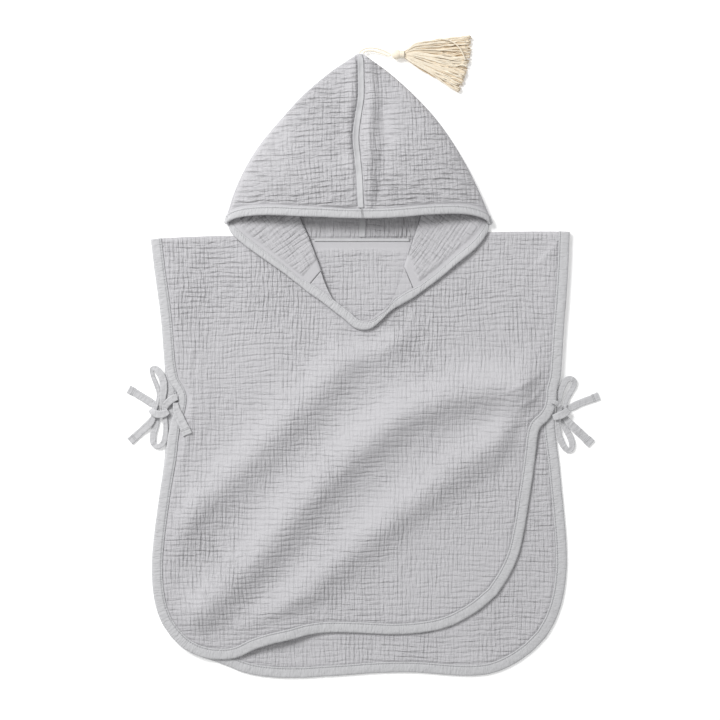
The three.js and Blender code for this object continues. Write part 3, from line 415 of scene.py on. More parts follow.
def hood_lower(h, s, v):
    diagonal, seam = Line(h["diagonal"]), Line(h["seam"])

    def low_border(t):
        t = np.asarray(t, float)
        return np.where((t < CORNER)[..., None], diagonal(np.clip(t / CORNER, 0, 1)),
                        seam(np.clip((t - CORNER) / (1 - CORNER), 0, 1)))

    xy = coons(Line([h["edge"][0], h["fold"][0]]), low_border, Line(h["edge"]), Line(h["fold"]), s, v)
    x, y = xy[:, 0], xy[:, 1]
    low = lerp(FLOOR, BIND_HALF, smooth(0.6, 0.95, v) * smooth(0.6, 0.1, s))
    pleat = 4.4 * smooth(0.62, 0.86, s)
    inset = edge_roll(v) * smooth(0.3, 0, s)
    on_shoulder = (smooth(h["shoulder"] + 35, h["shoulder"] + 6, y) * smooth(0.5, 0.8, v)
                   * smooth(-0.07, 0.15, s))
    on_front = smooth(152, 106, y + 0.1 * np.abs(x)) * smooth(0.6, 0.95, v)
    bound = lerp(h["lift"], 5.6, smooth(0, 0.75, s))
    lift = 4.4 * on_shoulder + (bound - 4.4) * on_front
    return np.stack([x - h["side"] * inset * 0.9, y - inset * 0.4, low + np.maximum(pleat, lift)], 1)


def hood_under(h, s, v):
    fold = Line(h["fold"])(v)
    z0 = hood_lower(h, np.ones_like(v), v)[:, 2]
    return np.stack([fold[:, 0] + h["side"] * under_reach(v) * s, fold[:, 1] + 5 * s * smooth(0.8, 1, v),
                     lerp(z0 - 2.2, 2.75, s)], 1)


def hood_back(h, s, v):
    under = [[x + h["side"] * (float(under_reach(k)) - 1), y] for k, (x, y) in enumerate(h["fold"][:-2])]
    under += [[lerp(under[-1][0], h["neck"], 0.5), 152], [h["neck"], 138.9]]
    xy = coons(Line([under[0], BACK_SEAM[0]]), Line([[h["neck"], 138.9], [0.4, 138.9]]), Line(under),
               Line(BACK_SEAM), s, v)
    return np.stack([xy[:, 0] + 0.15 * h["side"] * s, xy[:, 1], np.full(len(v), FLOOR)], 1)


# Spans of a hood half round its section: name, columns, first and last share.
HOOD_SPANS = (("top", 62, 0.0, 0.985), ("edge", 9, 0.0, 1.0), ("lower", 58, 0.02, 1.0),
              ("turn", 1, 0, 0), ("under", 3, 0.1, 0.95), ("drop", 1, 0, 0), ("back", 27, 0.02, 1.0))


def hood_columns(h, v):
    """All columns of a half at the rows v: an array of columns by rows by 3, and each column's span."""
    columns, spans = [], []
    for name, count, first, last in HOOD_SPANS:
        for k in range(count):
            f = first if count == 1 else lerp(first, last, k / (count - 1))
            share = np.full(len(v), f)
            if name == "top":
                p = hood_top(h, share, v)
            elif name == "edge":
                p = hood_edge(h, f, v)
            elif name == "lower":
                p = hood_lower(h, share, v)
            elif name == "turn":
                p = hood_lower(h, np.ones_like(v), v) + np.array([-h["side"] * 1.1, 0, -1.1])
            elif name == "under":
                p = hood_under(h, share, v)
            elif name == "drop":
                p = hood_back(h, np.zeros_like(v), v) + np.array([h["side"] * 1.6, 0, 1.28])
            else:
                p = hood_back(h, share, v)
            columns.append(p)
            spans.append(name)
    return np.array(columns), spans


# Meshes. Every piece starts as one grid whose vertices are moved to their places.
def grid_mesh(name, columns, rows, place, closed=False, capped=False, breaks=0):
    """A grid of columns by rows. place takes each vertex's column and row and gives its point in mm
    and its four crinkle values. closed joins the last column to the first; capped fills the two ends;
    breaks cuts the grid after each run of that many rows."""
    bm = bmesh.new()
    bmesh.ops.create_grid(bm, x_segments=columns - 1, y_segments=rows - 1, size=0.5)
    bm.verts.ensure_lookup_table()
    co = np.array([v.co[:2] for v in bm.verts])
    i = np.rint((co[:, 0] + 0.5) * (columns - 1)).astype(int)
    j = np.rint((0.5 - co[:, 1]) * (rows - 1)).astype(int)
    points, values = place(i, j)
    # On the bindings, ties and tassel the first of these values is painted shade, which their materials mix
    # into the colour.
    layer = bm.verts.layers.float_color.new("crinkle")
    for vert, p, c in zip(bm.verts, points * MM, values):
        vert.co = p
        vert[layer] = c
    if breaks:
        row = dict(zip(bm.verts, j))
        cut = [f for f in bm.faces if min(row[v] for v in f.verts) % breaks == breaks - 1]
        bmesh.ops.delete(bm, geom=cut, context="FACES")
    if closed:
        first = [v for v, k in zip(bm.verts, i) if k == 0]
        last = {jj: v for v, k, jj in zip(bm.verts, i, j) if k == columns - 1}
        rows_of = {v: jj for v, jj in zip(bm.verts, j)}
        bmesh.ops.weld_verts(bm, targetmap={last[rows_of[v]]: v for v in first})
    if capped:
        bmesh.ops.holes_fill(bm, edges=[e for e in bm.edges if e.is_boundary], sides=0)
    if closed:
        bmesh.ops.recalc_face_normals(bm, faces=bm.faces)
    else:
        up = sum(f.normal.z * f.calc_area() for f in bm.faces)
        if up < 0 and not closed:
            bmesh.ops.reverse_faces(bm, faces=bm.faces)
    mesh = bpy.data.meshes.new(name)
    bm.to_mesh(mesh)
    bm.free()
    mesh.shade_smooth()
    made = bpy.data.objects.new(name, mesh)
    bpy.context.scene.collection.objects.link(made)
    return made


def plain(points):
    return np.tile([0.0, 0.0, 0.0, 0.0], (len(points), 1))


def thicken(obj, thickness):
    """Thickness inward from the outer face, which keeps the crinkles on both faces."""
    solid = obj.modifiers.new("Cloth", "SOLIDIFY")
    solid.thickness = thickness * MM
    solid.offset = -1
    solid.use_even_offset = False
    return obj


def surface_piece(name, columns, rows, surface):
    def place(i, j):
        x, y, z, pu, pv, a, b = surface(i / (columns - 1), j / (rows - 1))
        return np.stack([x, y, z], 1), np.stack([pu, pv, a, b], 1)

    return thicken(grid_mesh(name, columns, rows, place), CLOTH)


def normals_of(points):
    """Normals of a grid of points, columns by rows by 3."""
    du = np.gradient(points, axis=0)
    dv = np.gradient(points, axis=1)
    n = np.cross(dv, du)
    return n / np.maximum(np.linalg.norm(n, axis=2), 1e-9)[..., None]


def hood_piece(name, h, rows):
    """One half of the hood. Its last rows run straight from the row inside the binding to the edge."""
    band = 7
    v = np.concatenate([np.linspace(0, MOUTH_ROW, rows - band), np.linspace(MOUTH_ROW, 1, band + 1)[1:]])
    points, spans = hood_columns(h, v)
    inner, edge = points[:, rows - band - 1], points[:, -1]
    for k in range(rows - band, rows):
        points[:, k] = lerp(inner, edge, (v[k] - MOUTH_ROW) / (1 - MOUTH_ROW))
    if h["side"] < 0:
        points, spans = points[::-1], spans[::-1]
    spans = np.array(spans)
    n = normals_of(points)
    x, y = points[..., 0], points[..., 1]
    values = np.zeros(points.shape[:2] + (4,))
    rise = np.zeros(points.shape[:2])
    for kind, seed, turn, across, along in (("top", 31, 0.03, 1.6, 1.0), ("edge", 31, 0.04, 1.2, 0.8),
                                            ("lower", 37, 0.62 * -h["side"], 0.85, 0.9),
                                            ("back", 41, 0.0, 0.4, 2.2)):
        pick = spans == kind
        height, pu, pv, a, b = crinkle(x[pick], y[pick], seed + (h["side"] > 0), turn, across, along)
        rise[pick] = height + 0.3
        values[pick] = np.stack([pu, pv, a, b], -1)
    inside = np.isin(spans, ["lower", "back"])[:, None]
    rise = np.where(inside, -np.maximum(0, rise + 0.2), rise)
    # The cloth lies smooth under the binding, at the crown seam and at its outer fold.
    mouth = (1 - v)[None, :] * 205
    fold = np.isin(spans, ["turn", "under", "drop"])[:, None]
    free = np.where(fold, 0.0, smooth(10.5, 14, mouth) * np.ones_like(rise))
    free = np.where((spans == "back")[:, None], smooth(1.5, 5, mouth), free)
    share = np.abs(np.arange(len(spans)) - np.flatnonzero(spans == "edge").mean())
    free = free * smooth(2, 9, share)[:, None]
    seam = np.abs(x - Line(SEAM_TOP)(np.broadcast_to(v, x.shape))[..., 0])
    free = np.where((spans == "top")[:, None], free * smooth(3.5, 7, seam), free)
    values[..., 2:] *= free[..., None]
    points = points + n * (CLOTH / 2 + free * rise)[..., None]
    flat = points.reshape(-1, 3)
    flat_values = values.reshape(-1, 4)

    def place(i, j):
        k = i * rows + j
        return flat[k], flat_values[k]

    made = grid_mesh(name, len(spans), rows, place)
    top_face = np.mean([p.normal.z for p in made.data.polygons if p.center.z > 0.012])
    if top_face < 0:
        made.data.flip_normals()
    return thicken(made, CLOTH)


def frames_of(points, inner, closed):
    """Tangent, inward direction and normal at each point of an edge."""
    if closed:
        t = np.roll(points, -1, 0) - np.roll(points, 1, 0)
    else:
        t = np.gradient(points, axis=0)
    t /= np.linalg.norm(t, axis=1)[:, None]
    e = inner - points
    e /= np.linalg.norm(e, axis=1)[:, None]
    n = np.cross(e, t)
    return t, e, n / np.linalg.norm(n, axis=1)[:, None]


def soften(values, span, closed):
    """A running mean along the first axis."""
    out = np.zeros_like(values)
    for k in range(-span, span + 1):
        if closed:
            out += np.roll(values, k, 0)
        else:
            out += values[np.clip(np.arange(len(values)) + k, 0, len(values) - 1)]
    out /= 2 * span + 1
    return out / np.linalg.norm(out, axis=1)[:, None]


def sweep_piece(name, at, e, n, section, closed_path=False, breaks=0, values=None):
    """A closed section of (e, n) points swept along stations."""
    section = np.asarray(section, float)
    if section.ndim == 2:
        section = np.broadcast_to(section, (len(at),) + section.shape)
    if values is None:
        values = np.zeros((len(at), 4))
    if values.ndim == 2:
        values = np.broadcast_to(values[:, None], (len(at), section.shape[1], 4))
    if closed_path:
        at, e, n, section, values = (np.concatenate([a, a[:1]]) for a in (at, e, n, section, values))
    m = section.shape[1]
    ring = (at[:, None] + e[:, None] * section[..., :1] + n[:, None] * section[..., 1:2])
    ring = np.concatenate([ring, ring[:, :1]], 1)
    rows = len(at)

    def place(i, j):
        return ring[j, i], values[j, i % m]

    made = grid_mesh(name, m + 1, rows, place, closed=True, capped=not closed_path, breaks=breaks)
    if closed_path:
        bm = bmesh.new()
        bm.from_mesh(made.data)
        bmesh.ops.remove_doubles(bm, verts=bm.verts, dist=1e-7)
        bmesh.ops.recalc_face_normals(bm, faces=bm.faces)
        bm.to_mesh(made.data)
        bm.free()
    return made


def binding_section(width, count):
    """The folded binding, its two lips, the rounded nose and a shallow trench for the stitches."""
    top = [(width, 0.98), (width + 0.12, 1.35), (width - 0.15, 1.74), (width - 0.8, 1.88),
           (width - 1.3, 1.88), (width - 1.9, 1.1), (width - 2.5, 1.9), (width - 3.4, 2.0),
           (width * 0.5, 2.02), (width * 0.25, 2.0), (0.6, 1.88), (-0.5, 1.52), (-1.2, 0.85)]
    low = [(e, -n) for e, n in reversed(top)]
    channel = [(width, -0.9), (-0.25, -0.9), (-0.25, 0.9), (width, 0.9)]
    base = np.array(top + [(-1.5, 0.0)] + low + channel)
    return np.broadcast_to(base, (count,) + base.shape).copy()


def rumple(section, reach, seed, amount):
    """Slight swellings along a binding, where its bias-cut cloth eases round the curves."""
    rows = np.arange(len(section)) * reach
    for k in range(section.shape[1] - 4):
        e, n = section[:, k, 0], section[:, k, 1]
        wave = (0.6 * value_noise(rows / 7, e / 9 + seed, seed)
                + 0.6 * value_noise(rows / 2.7, e / 6, seed + 1))
        section[:, k, 1] += amount * wave * np.sign(n) * smooth(0.3, 1.2, np.abs(n))
        section[:, k, 0] += 0.35 * amount * value_noise(rows / 9, seed, seed + 2)
    return section


def thread(name, at, e, n, pitch, half, depth):
    """A running stitch: a fine round thread that rises and dips along its line."""
    step = np.linalg.norm(np.diff(at, axis=0), axis=1)
    reach = np.concatenate([[0], np.cumsum(step)])
    want = np.arange(0, reach[-1], pitch / 6)

    def take(a):
        return np.stack([np.interp(want, reach, a[:, c]) for c in range(3)], 1)
    at, e, n = take(at), take(e), take(n)
    phase = want / pitch * 2 * math.pi
    at = at + n * (depth * (np.tanh(2.2 * np.cos(phase)) - 0.35))[:, None]
    ring = [(half * math.cos(a), 0.8 * half * math.sin(a)) for a in np.linspace(0, 2 * math.pi, 6)[:-1]]
    return sweep_piece(name, at, e, n, ring)


# Frames of the bindings.
def level_frames(points):
    """Frames along an open row of points in plan: e to the right of the way, n straight up."""
    t = np.gradient(points, axis=0)
    t[:, 2] = 0
    t /= np.linalg.norm(t, axis=1)[:, None]
    return t, np.stack([t[:, 1], -t[:, 0], np.zeros(len(t))], 1), np.tile([0.0, 0.0, 1.0], (len(t), 1))


def body_edge(sides, heights, count=210):
    """The bound edge of a panel, from its right shoulder round the hem to its left shoulder."""
    points, _, part = border(sides, count)
    z = heights(points, part) if heights is edge_heights_front else heights(points)
    loop = np.concatenate([points[count:], points[:1]])
    z = np.concatenate([z[count:], z[-1:]])
    z = np.convolve(np.pad(z, 4, "edge"), np.ones(9) / 9, "valid")
    at = np.concatenate([loop, z[:, None]], 1)
    t, e, n = level_frames(at)
    return at, t, soften(e, 3, False), n


def mouth_pairs(h):
    """Points of the hood's bound edge and of the row inside it."""
    rows = np.array([1.0, MOUTH_ROW])
    pairs = []
    for s in np.linspace(0, 0.98, 56):
        pairs.append(hood_top(h, np.full(2, s), rows))
    for f in np.linspace(0, 1, 15):
        pairs.append(hood_edge(h, f, rows))
    for s in np.linspace(0.02, CORNER, 62):
        pairs.append(hood_lower(h, np.full(2, s), rows))
    return np.array(pairs)


def facing_pairs(count=62):
    t = np.linspace(0, 1, count + 1)[1:-1]
    out, inner = Line(FACING_OUT)(t), Line(FACING_IN)(t)
    z = np.full((len(t), 1), FACING_Z)
    return np.stack([np.concatenate([out, z], 1), np.concatenate([inner, z], 1)], 1)


def mouth_edge():
    """Frames round the hood's mouth: left crown, left lapel, the V, right lapel, right crown."""
    left, right = mouth_pairs(HOOD_LEFT), mouth_pairs(HOOD_RIGHT)[1:][::-1]
    loop = np.concatenate([left, facing_pairs(), right])
    at = loop[:, 0]
    t, e, n = frames_of(at, loop[:, 1], True)
    return at, t, soften(e, 2, True), soften(n, 2, True)


def facing_surface(s, v):
    out, inner = Line(FACING_OUT)(s), Line(FACING_IN)(s)
    xy = lerp(inner, out, v[:, None])
    x, y = xy[:, 0], xy[:, 1]
    h, pu, pv, a, b = crinkle(x, y, 53)
    bound = np.linalg.norm(out - inner, axis=1) * (1 - v)
    free = smooth(9.4, 12, bound) * 0.35
    return x, y, FACING_Z + CLOTH / 2 + free * np.maximum(0, h), pu, pv, a * free, b * free


def crown_tape_surface(s, v):
    """The strip over the crown seam: its top face, from the tip to the mouth."""
    v = lerp(0.004, 0.944, v)
    mid = Line(SEAM_TOP)(v)
    across = (s - 0.5) * 2
    x = mid[:, 0] + across * np.minimum(3.4, 1 + 60 * v)
    shares = np.linspace(0, 0.35, 30)
    z = np.zeros_like(x)
    y = np.zeros_like(x)
    for h in (HOOD_LEFT, HOOD_RIGHT):
        table = np.array([hood_top(h, np.full_like(v, f), v) for f in shares])
        for k in range(len(x)):
            if (x[k] - mid[k, 0]) * h["side"] >= 0:
                order = np.argsort(table[:, k, 0])
                z[k] = np.interp(x[k], table[order, k, 0], table[order, k, 2])
                y[k] = np.interp(x[k], table[order, k, 0], table[order, k, 1])
    z += CLOTH / 2 + 0.3 + TAPE + 0.15 + 0.9 * smooth(0.1, 0, v)
    z += 0.12 * value_noise(x / 3, y / 4, 61)
    flat = np.zeros_like(x)
    return x, y, z, flat, flat, flat, flat


def strip_surface(line, half, z):
    def surface(s, v):
        line_at = Line(line)
        mid = line_at(v)
        d = line_at(np.minimum(1, v + 0.02)) - line_at(np.maximum(0, v - 0.02))
        d /= np.linalg.norm(d, axis=1)[:, None]
        w = (s - 0.5) * 2 * half
        x, y = mid[:, 0] - d[:, 1] * w, mid[:, 1] + d[:, 0] * w
        flat = np.zeros_like(x)
        rise = z + TAPE / 2 + 0.15 * value_noise(x / 4, y / 4, 67)
        return x, y, rise, flat, flat, flat, flat

    return surface


# Ties. Each row: x, y, height of the middle, and the width as a share of TIE_HALF.
TIES = {
    "tie_left_front": [
        [-220.8, -49.8, 9.4, 0.75], [-225, -51, 9.6, 0.9], [-229.8, -54.1, 9.2, 0.95],
        [-234, -58.6, 7.3, 0.9], [-236.2, -64, 5.2, 0.72], [-236.9, -70.2, 5.2, 0.6],
        [-235.7, -77.4, 5.3, 0.6], [-235.1, -87, 5.3, 0.64], [-235.7, -95.4, 5.3, 0.7],
        [-237.8, -104.2, 5, 0.72], [-242.4, -108.6, 3.4, 0.66], [-247.2, -108.6, 2.5, 0.66],
        [-250.3, -105, 2.1, 0.72], [-250.8, -99, 2, 0.8], [-249.6, -90.6, 1.8, 0.85],
        [-247.2, -82.8, 1.6, 0.8], [-245.3, -75, 1.4, 0.6], [-244.8, -66.6, 1.3, 0.5],
        [-247.2, -60.6, 1.3, 0.75], [-253.8, -56, 1.3, 0.98], [-259.8, -52.2, 1.3, 1],
        [-271.2, -45, 1.3, 1], [-280, -40.2, 1.3, 1]
    ],
    "tie_left_back": [
        [-238, -73.6, 1.4, 0.4], [-239.3, -66.4, 1.7, 0.4], [-239.5, -58.2, 3.9, 0.58],
        [-238.1, -48.6, 5.3, 0.78], [-237.4, -39, 5.4, 0.9], [-238.6, -29.4, 5.3, 0.95],
        [-242.2, -21, 4.9, 0.92], [-247.2, -15.7, 4.2, 0.75], [-251.8, -16, 3, 0.55],
        [-252.1, -20.5, 2, 0.5], [-249.8, -27.7, 1.6, 0.55], [-246.7, -35.4, 1.6, 0.58],
        [-244.3, -42.6, 1.7, 0.56], [-244.1, -49.3, 2.2, 0.5], [-245.5, -56.3, 3.9, 0.45],
        [-247.7, -64.2, 4.2, 0.5], [-249.4, -71.4, 4.2, 0.6], [-252, -78, 4.2, 0.9],
        [-256.8, -83.4, 3.9, 1], [-265.2, -91.2, 2, 1], [-271.9, -97.3, 1.4, 1],
        [-278.4, -103, 1.3, 1]
    ],
    "tie_left_knot": [
        [-253.2, -64.9, 5.5, 0.62], [-251, -67.3, 7.1, 0.8], [-246.6, -69.6, 8.1, 0.95],
        [-241.2, -70.4, 8.4, 0.98], [-235.9, -69.2, 8.1, 0.92], [-231.7, -66.8, 7.5, 0.72]
    ],
    "tie_left_tab": [
        [-223, -56.5, 9.35, 0.62], [-222.1, -63, 9.35, 0.9], [-218.2, -73.8, 9.35, 1.1],
        [-213, -84.6, 9.35, 1.15], [-208.8, -94.6, 8.8, 1.15]
    ],
    "tie_right_front": [
        [226.8, -55.2, 10.3, 0.5], [231.6, -56.5, 10, 0.58], [235.7, -60.1, 8.4, 0.6],
        [237.1, -66, 5.2, 0.58], [235, -72.6, 4.2, 0.5], [234.4, -79.8, 3.6, 0.52],
        [235.1, -87.6, 2.8, 0.66], [235.9, -95.4, 2.3, 0.78], [238.8, -103, 2.2, 0.8],
        [242.4, -109.8, 2.2, 0.74], [247, -113.4, 2.2, 0.68], [251, -111.4, 2.1, 0.7],
        [251.6, -104.4, 2, 0.8], [248.9, -96.6, 1.8, 0.84], [244.8, -89, 1.6, 0.8],
        [241.4, -82.2, 1.5, 0.62], [240, -75, 1.4, 0.44], [241.7, -68.4, 1.3, 0.46],
        [246.6, -64.2, 1.3, 0.8], [253.2, -61, 1.3, 0.95], [261.6, -57, 1.3, 0.95],
        [273.6, -52.6, 1.3, 0.95], [283.9, -48.4, 1.3, 0.97]
    ],
    "tie_right_back": [
        [233.5, -73.2, 1.4, 0.34], [234.2, -66, 1.7, 0.36], [235.4, -58.4, 2.9, 0.48],
        [236.8, -51, 3.6, 0.7], [238.3, -42.6, 4, 0.82], [241, -35.4, 4, 0.86],
        [244.8, -29.6, 4, 0.8], [249.6, -27.7, 3.8, 0.7], [253.9, -30.6, 3.2, 0.7],
        [253.2, -36.8, 2.2, 0.8], [249.5, -43.8, 1.7, 0.82], [246.2, -50.4, 1.7, 0.76],
        [243.6, -57, 3.2, 0.6], [242.6, -63, 4, 0.5], [242.6, -69.6, 4.2, 0.5],
        [244.3, -75.6, 4.2, 0.8], [248.9, -81.4, 4.2, 1], [253.2, -85.6, 3.9, 1.04],
        [258.5, -90.4, 3, 1.06], [266.4, -97.8, 1.6, 1.1], [275, -106, 1.3, 1.1]
    ],
    "tie_right_knot": [
        [228.8, -74.3, 6.8, 0.7], [232.6, -73.2, 8.2, 0.9], [238.2, -71.2, 8.9, 1],
        [243.6, -68.5, 7.9, 0.95], [247.4, -65.3, 5.9, 0.8]
    ],
}
TASSEL_BODY = [[35.4, 1.2, 1.2], [36.6, 3.6, 3.4], [38.8, 5.5, 4.8], [41.2, 6.2, 5.3],
               [43.8, 5.7, 4.9], [46, 4.2, 4.1]]
SKIRT_LINES = [[[49, 357.6], [49, 363.4]], [[56, 353.2], [55.6, 367.4]], [[66, 346], [64, 373.4]],
               [[87, 334.6], [84, 377]], [[119, 317.4], [132.6, 384]]]
TASSEL_LOOP = [[-3, 362.3, 6.6], [-0.4, 365.2, 6], [4.6, 367.6, 5.4], [10.8, 368.4, 4.8],
               [17.4, 367.8, 4.6], [26, 365.2, 4.6], [31.8, 362.5, 4.8], [33.9, 361.2, 5],
               [34.3, 360.1, 5], [33.4, 359.1, 5], [31, 359.2, 4.8], [26, 361.2, 4.4],
               [19.4, 363.1, 4.4], [13.2, 364.6, 4.9], [6.8, 365, 5.6], [2.8, 363.6, 6.2],
               [1.6, 361.8, 6.4]]


def path_frames(rows, step):
    """Evenly spaced frames along rows of x, y, z and further columns."""
    rows = np.asarray(rows, float)
    line = Line(rows)
    fine = line(np.linspace(0, 1, 1200))
    length = np.concatenate([[0], np.cumsum(np.linalg.norm(np.diff(fine[:, :3], axis=0), axis=1))])
    want = np.linspace(0, length[-1], max(8, int(length[-1] / step)))
    at = np.stack([np.interp(want, length, fine[:, c]) for c in range(rows.shape[1])], 1)
    p = at[:, :3]
    t = np.gradient(p, axis=0)
    t /= np.linalg.norm(t, axis=1)[:, None]
    flat = t * [1, 1, 0] + 1e-9
    e = np.stack([-flat[:, 1], flat[:, 0], np.zeros(len(t))], 1)
    e /= np.linalg.norm(e, axis=1)[:, None]
    e = soften(e, 2, False)
    n = np.cross(t, e)
    return p, t, e, n / np.linalg.norm(n, axis=1)[:, None], at[:, 3:], length[-1]


def ribbon(name, rows, seed, hem=0.0):
    """A tie: a flat sewn tube of cloth with rounded edges, a seam along its lower third and cross
    creases. Its free end is turned under for the length of the hem and sewn with two rows."""
    p, _, e, n, extra, length = path_frames(rows, 0.45)
    share = extra[:, 0]
    turn = np.linspace(0, 2 * math.pi, 41)[:-1]
    section = np.zeros((len(p), len(turn), 2))
    c, s = np.cos(turn), np.sin(turn)
    wide = np.sign(c) * np.abs(c) ** 0.75
    high = np.sign(s) * np.abs(s) ** 0.5 * (1 - 0.2 * np.exp(-((c / 0.45) ** 2)))
    seam = np.exp(-(((wide + 0.36) / 0.07) ** 2)) * (s > 0)
    high -= 0.3 * seam
    run = np.linspace(0, length, len(p))
    to_end = length - run
    hemmed = smooth(hem + 0.4, hem - 0.4, to_end) * (hem > 0)
    rows_of_stitches = np.zeros_like(run)
    for k in range(2 if hem else 0):
        rows_of_stitches += np.exp(-(((to_end - hem + 0.9 + 1.9 * k) / 0.5) ** 2))
    thick = 1 + 0.3 * hemmed - 0.45 * rows_of_stitches
    bend = np.abs(np.gradient(np.unwrap(np.arctan2(e[:, 1], e[:, 0])))) / 0.45
    crease = 0.1 + np.clip(2.2 * soften_row(bend, 8), 0, 0.22)
    for k in range(len(turn)):
        wave = (0.6 * value_noise(run / 5, wide[k] * 1.4 + seed, seed)
                + value_noise(run / 1.9 + 0.5 * wide[k], wide[k] * 0.9 + seed, seed + 1))
        edge = 1 + 0.05 * value_noise(run / 6, np.sign(wide[k]), seed + 2) + 0.07 * hemmed
        section[:, k, 0] = TIE_HALF * share * wide[k] * edge
        section[:, k, 1] = (TIE_THICK / 2 * high[k] * thick * (1 + 0.16 * (1 - share))
                            + crease * wave * abs(s[k]))
    values = np.zeros(section.shape[:2] + (4,))
    # Painted shade for the binding material: darker in the hem's stitch rows and along the seam.
    values[..., 0] = np.clip(rows_of_stitches[:, None] + 0.55 * seam + np.zeros_like(run)[:, None], 0, 1)
    values[..., 1] = 0.6 * run[:, None]
    values[..., 2] = section[..., 0]
    return p, length, sweep_piece(name, p, e, n, section, values=values)


def tassel_head():
    """A wound bead, and the thread wrapped round the neck behind it."""
    body = np.array(TASSEL_BODY)
    x = np.linspace(body[0, 0], body[-1, 0], 40)
    turn = np.linspace(0, 2 * math.pi, 49)[:-1]
    a, b = np.interp(x, body[:, 0], body[:, 1]), np.interp(x, body[:, 0], body[:, 2])
    a, b = soften_row(a, 2), soften_row(b, 2)
    wind = 1 + 0.035 * np.sin(turn[None, :] * 1 + x[:, None] * 5.2)
    section = np.stack([a[:, None] * np.cos(turn) * wind, b[:, None] * np.sin(turn) * wind], 2)
    at = np.stack([x, np.full(40, TASSEL_Y), np.full(40, 5.6)], 1)
    e, n = np.tile([0.0, 1.0, 0.0], (40, 1)), np.tile([0.0, 0.0, 1.0], (40, 1))
    bead = sweep_piece("TasselBead", at, e, n, section)
    turns = 6
    phi = np.linspace(0, turns * 2 * math.pi, turns * 22)
    r = 4.35
    x = lerp(46.2, 50.8, phi / phi[-1])
    p = np.stack([x, TASSEL_Y + r * np.cos(phi), 5.6 + 0.95 * r * np.sin(phi)], 1)
    out = np.stack([np.zeros_like(phi), np.cos(phi), np.sin(phi)], 1)
    ring = [(0.5 * math.cos(q), 0.5 * math.sin(q)) for q in np.linspace(0, 2 * math.pi, 7)[:-1]]
    side = np.cross(np.gradient(p, axis=0), out)
    side /= np.linalg.norm(side, axis=1)[:, None]
    wrap = sweep_piece("TasselWrap", p, side, out, ring)
    return bead, wrap


def soften_row(values, span):
    return np.convolve(np.pad(values, span, "edge"), np.ones(2 * span + 1) / (2 * span + 1), "valid")


def tassel_skirt(strands, half):
    """The cut yarns of the tassel, fanned from the neck, each a fine tube of its own."""
    rng = np.random.default_rng(5)
    steps = 34
    sections = []
    turn = np.linspace(0, 2 * math.pi, 7)[:-1]
    at, e, n, values = [], [], [], []
    lines = np.array(SKIRT_LINES)
    share = (np.arange(strands) + 0.5) / strands
    layer = rng.permutation(strands) % 5
    for k in range(strands):
        f = np.clip(share[k] + rng.normal(0, 0.012), 0.005, 0.995)
        drift = f + rng.normal(0, 0.05) * np.array([0, 0, 0.4, 0.8, 1.0])
        centre = lerp(lines[:, 0], lines[:, 1], np.clip(drift, 0.0, 1.0)[:, None])
        height = np.array([5.6 + 3.6 * (rng.random() - 0.5), 4.2 + 0.85 * layer[k], 3.2 + 1.05 * layer[k],
                           1.5 + 1.15 * layer[k], 0.9 + 0.9 * layer[k] + 0.9 * rng.random()])
        centre[0, 0] += 1.5 * rng.random()
        centre[-1, 0] += 4.5 * math.sin(math.pi * f) - 7 * rng.random() ** 2 - 2.2
        line = Line(np.concatenate([centre, height[:, None]], 1))
        p = line(np.linspace(0, 1, steps))
        reach = np.linspace(0, 90, steps)
        sway = smooth(10, 90, reach)
        p[:, 1] += 2.2 * sway * value_noise(reach / 22, k * 0.37, 71)
        p[:, 1] += 1.3 * sway * value_noise(reach / 8, k * 0.53, 74)
        p[:, 0] += 0.7 * sway * value_noise(reach / 20, k * 0.41, 72)
        p[:, 2] = np.maximum(p[:, 2] + 1.1 * sway * value_noise(reach / 15, k * 0.29, 73), half + 0.05)
        thick = half * (0.85 + 0.3 * rng.random()) * lerp(0.55, 1.0, smooth(0, 30, reach))
        thick = thick * (1 + 0.12 * np.sin(reach * 1.9 + k))
        sections.append(thick[:, None, None] * np.stack([np.cos(turn), np.sin(turn)], 1)[None])
        _, ee, nn = level_frames(p)
        at.append(p)
        e.append(ee)
        n.append(nn)
        # Painted shade: strands of lower layers take more of the tassel's shade colour, with some random
        # tone.
        depth_shade_and_tone = 0.75 * (1 - layer[k] / 4) + 0.25 * rng.random()
        values.append(np.tile([depth_shade_and_tone, k, 0.0, 0.0], (steps, 1)))
    return sweep_piece("TasselSkirt", np.concatenate(at), np.concatenate(e), np.concatenate(n),
                       np.concatenate(sections), breaks=steps, values=np.concatenate(values))


def stray_strand(half):
    """One longer yarn that has come loose over the others."""
    rows = [[93.6, 378.6, 8], [104, 377, 9.2], [113, 371.5, 9.6], [119, 364, 9.4], [123.6, 353, 8.4]]
    p, _, e, n, _, _ = path_frames(rows, 1.2)
    ring = [(half * math.cos(q), half * math.sin(q)) for q in np.linspace(0, 2 * math.pi, 7)[:-1]]
    # Painted shade: little of it, as this yarn lies on top of the others.
    return sweep_piece("TasselStray", p, e, n, ring, values=np.tile([0.15, 3, 0, 0], (len(p), 1)))


# Materials.
def linear(colour):
    """Linear red, green and blue, with alpha, from a hex colour."""
    channels = [int(colour[k:k + 2], 16) / 255 for k in (0, 2, 4)]
    return [c / 12.92 if c <= 0.04045 else ((c + 0.055) / 1.055) ** 2.4 for c in channels] + [1.0]


def add_node(tree, kind, operation=None, **inputs):
    """A node with its inputs set to values or linked from sockets. An input is named or numbered."""
    node = tree.nodes.new(kind)
    if operation:
        setattr(node, "operation" if hasattr(node, "operation") else "blend_type", operation)
    for key, value in inputs.items():
        socket = node.inputs[int(key[1:]) if key[0] == "i" and key[1:].isdigit() else key.replace("_", " ")]
        if isinstance(value, bpy.types.NodeSocket):
            tree.links.new(value, socket)
        else:
            socket.default_value = value
    return node


def maths(tree, operation, a, b=0.0, c=0.0):
    return add_node(tree, "ShaderNodeMath", operation, i0=a, i1=b, i2=c).outputs[0]


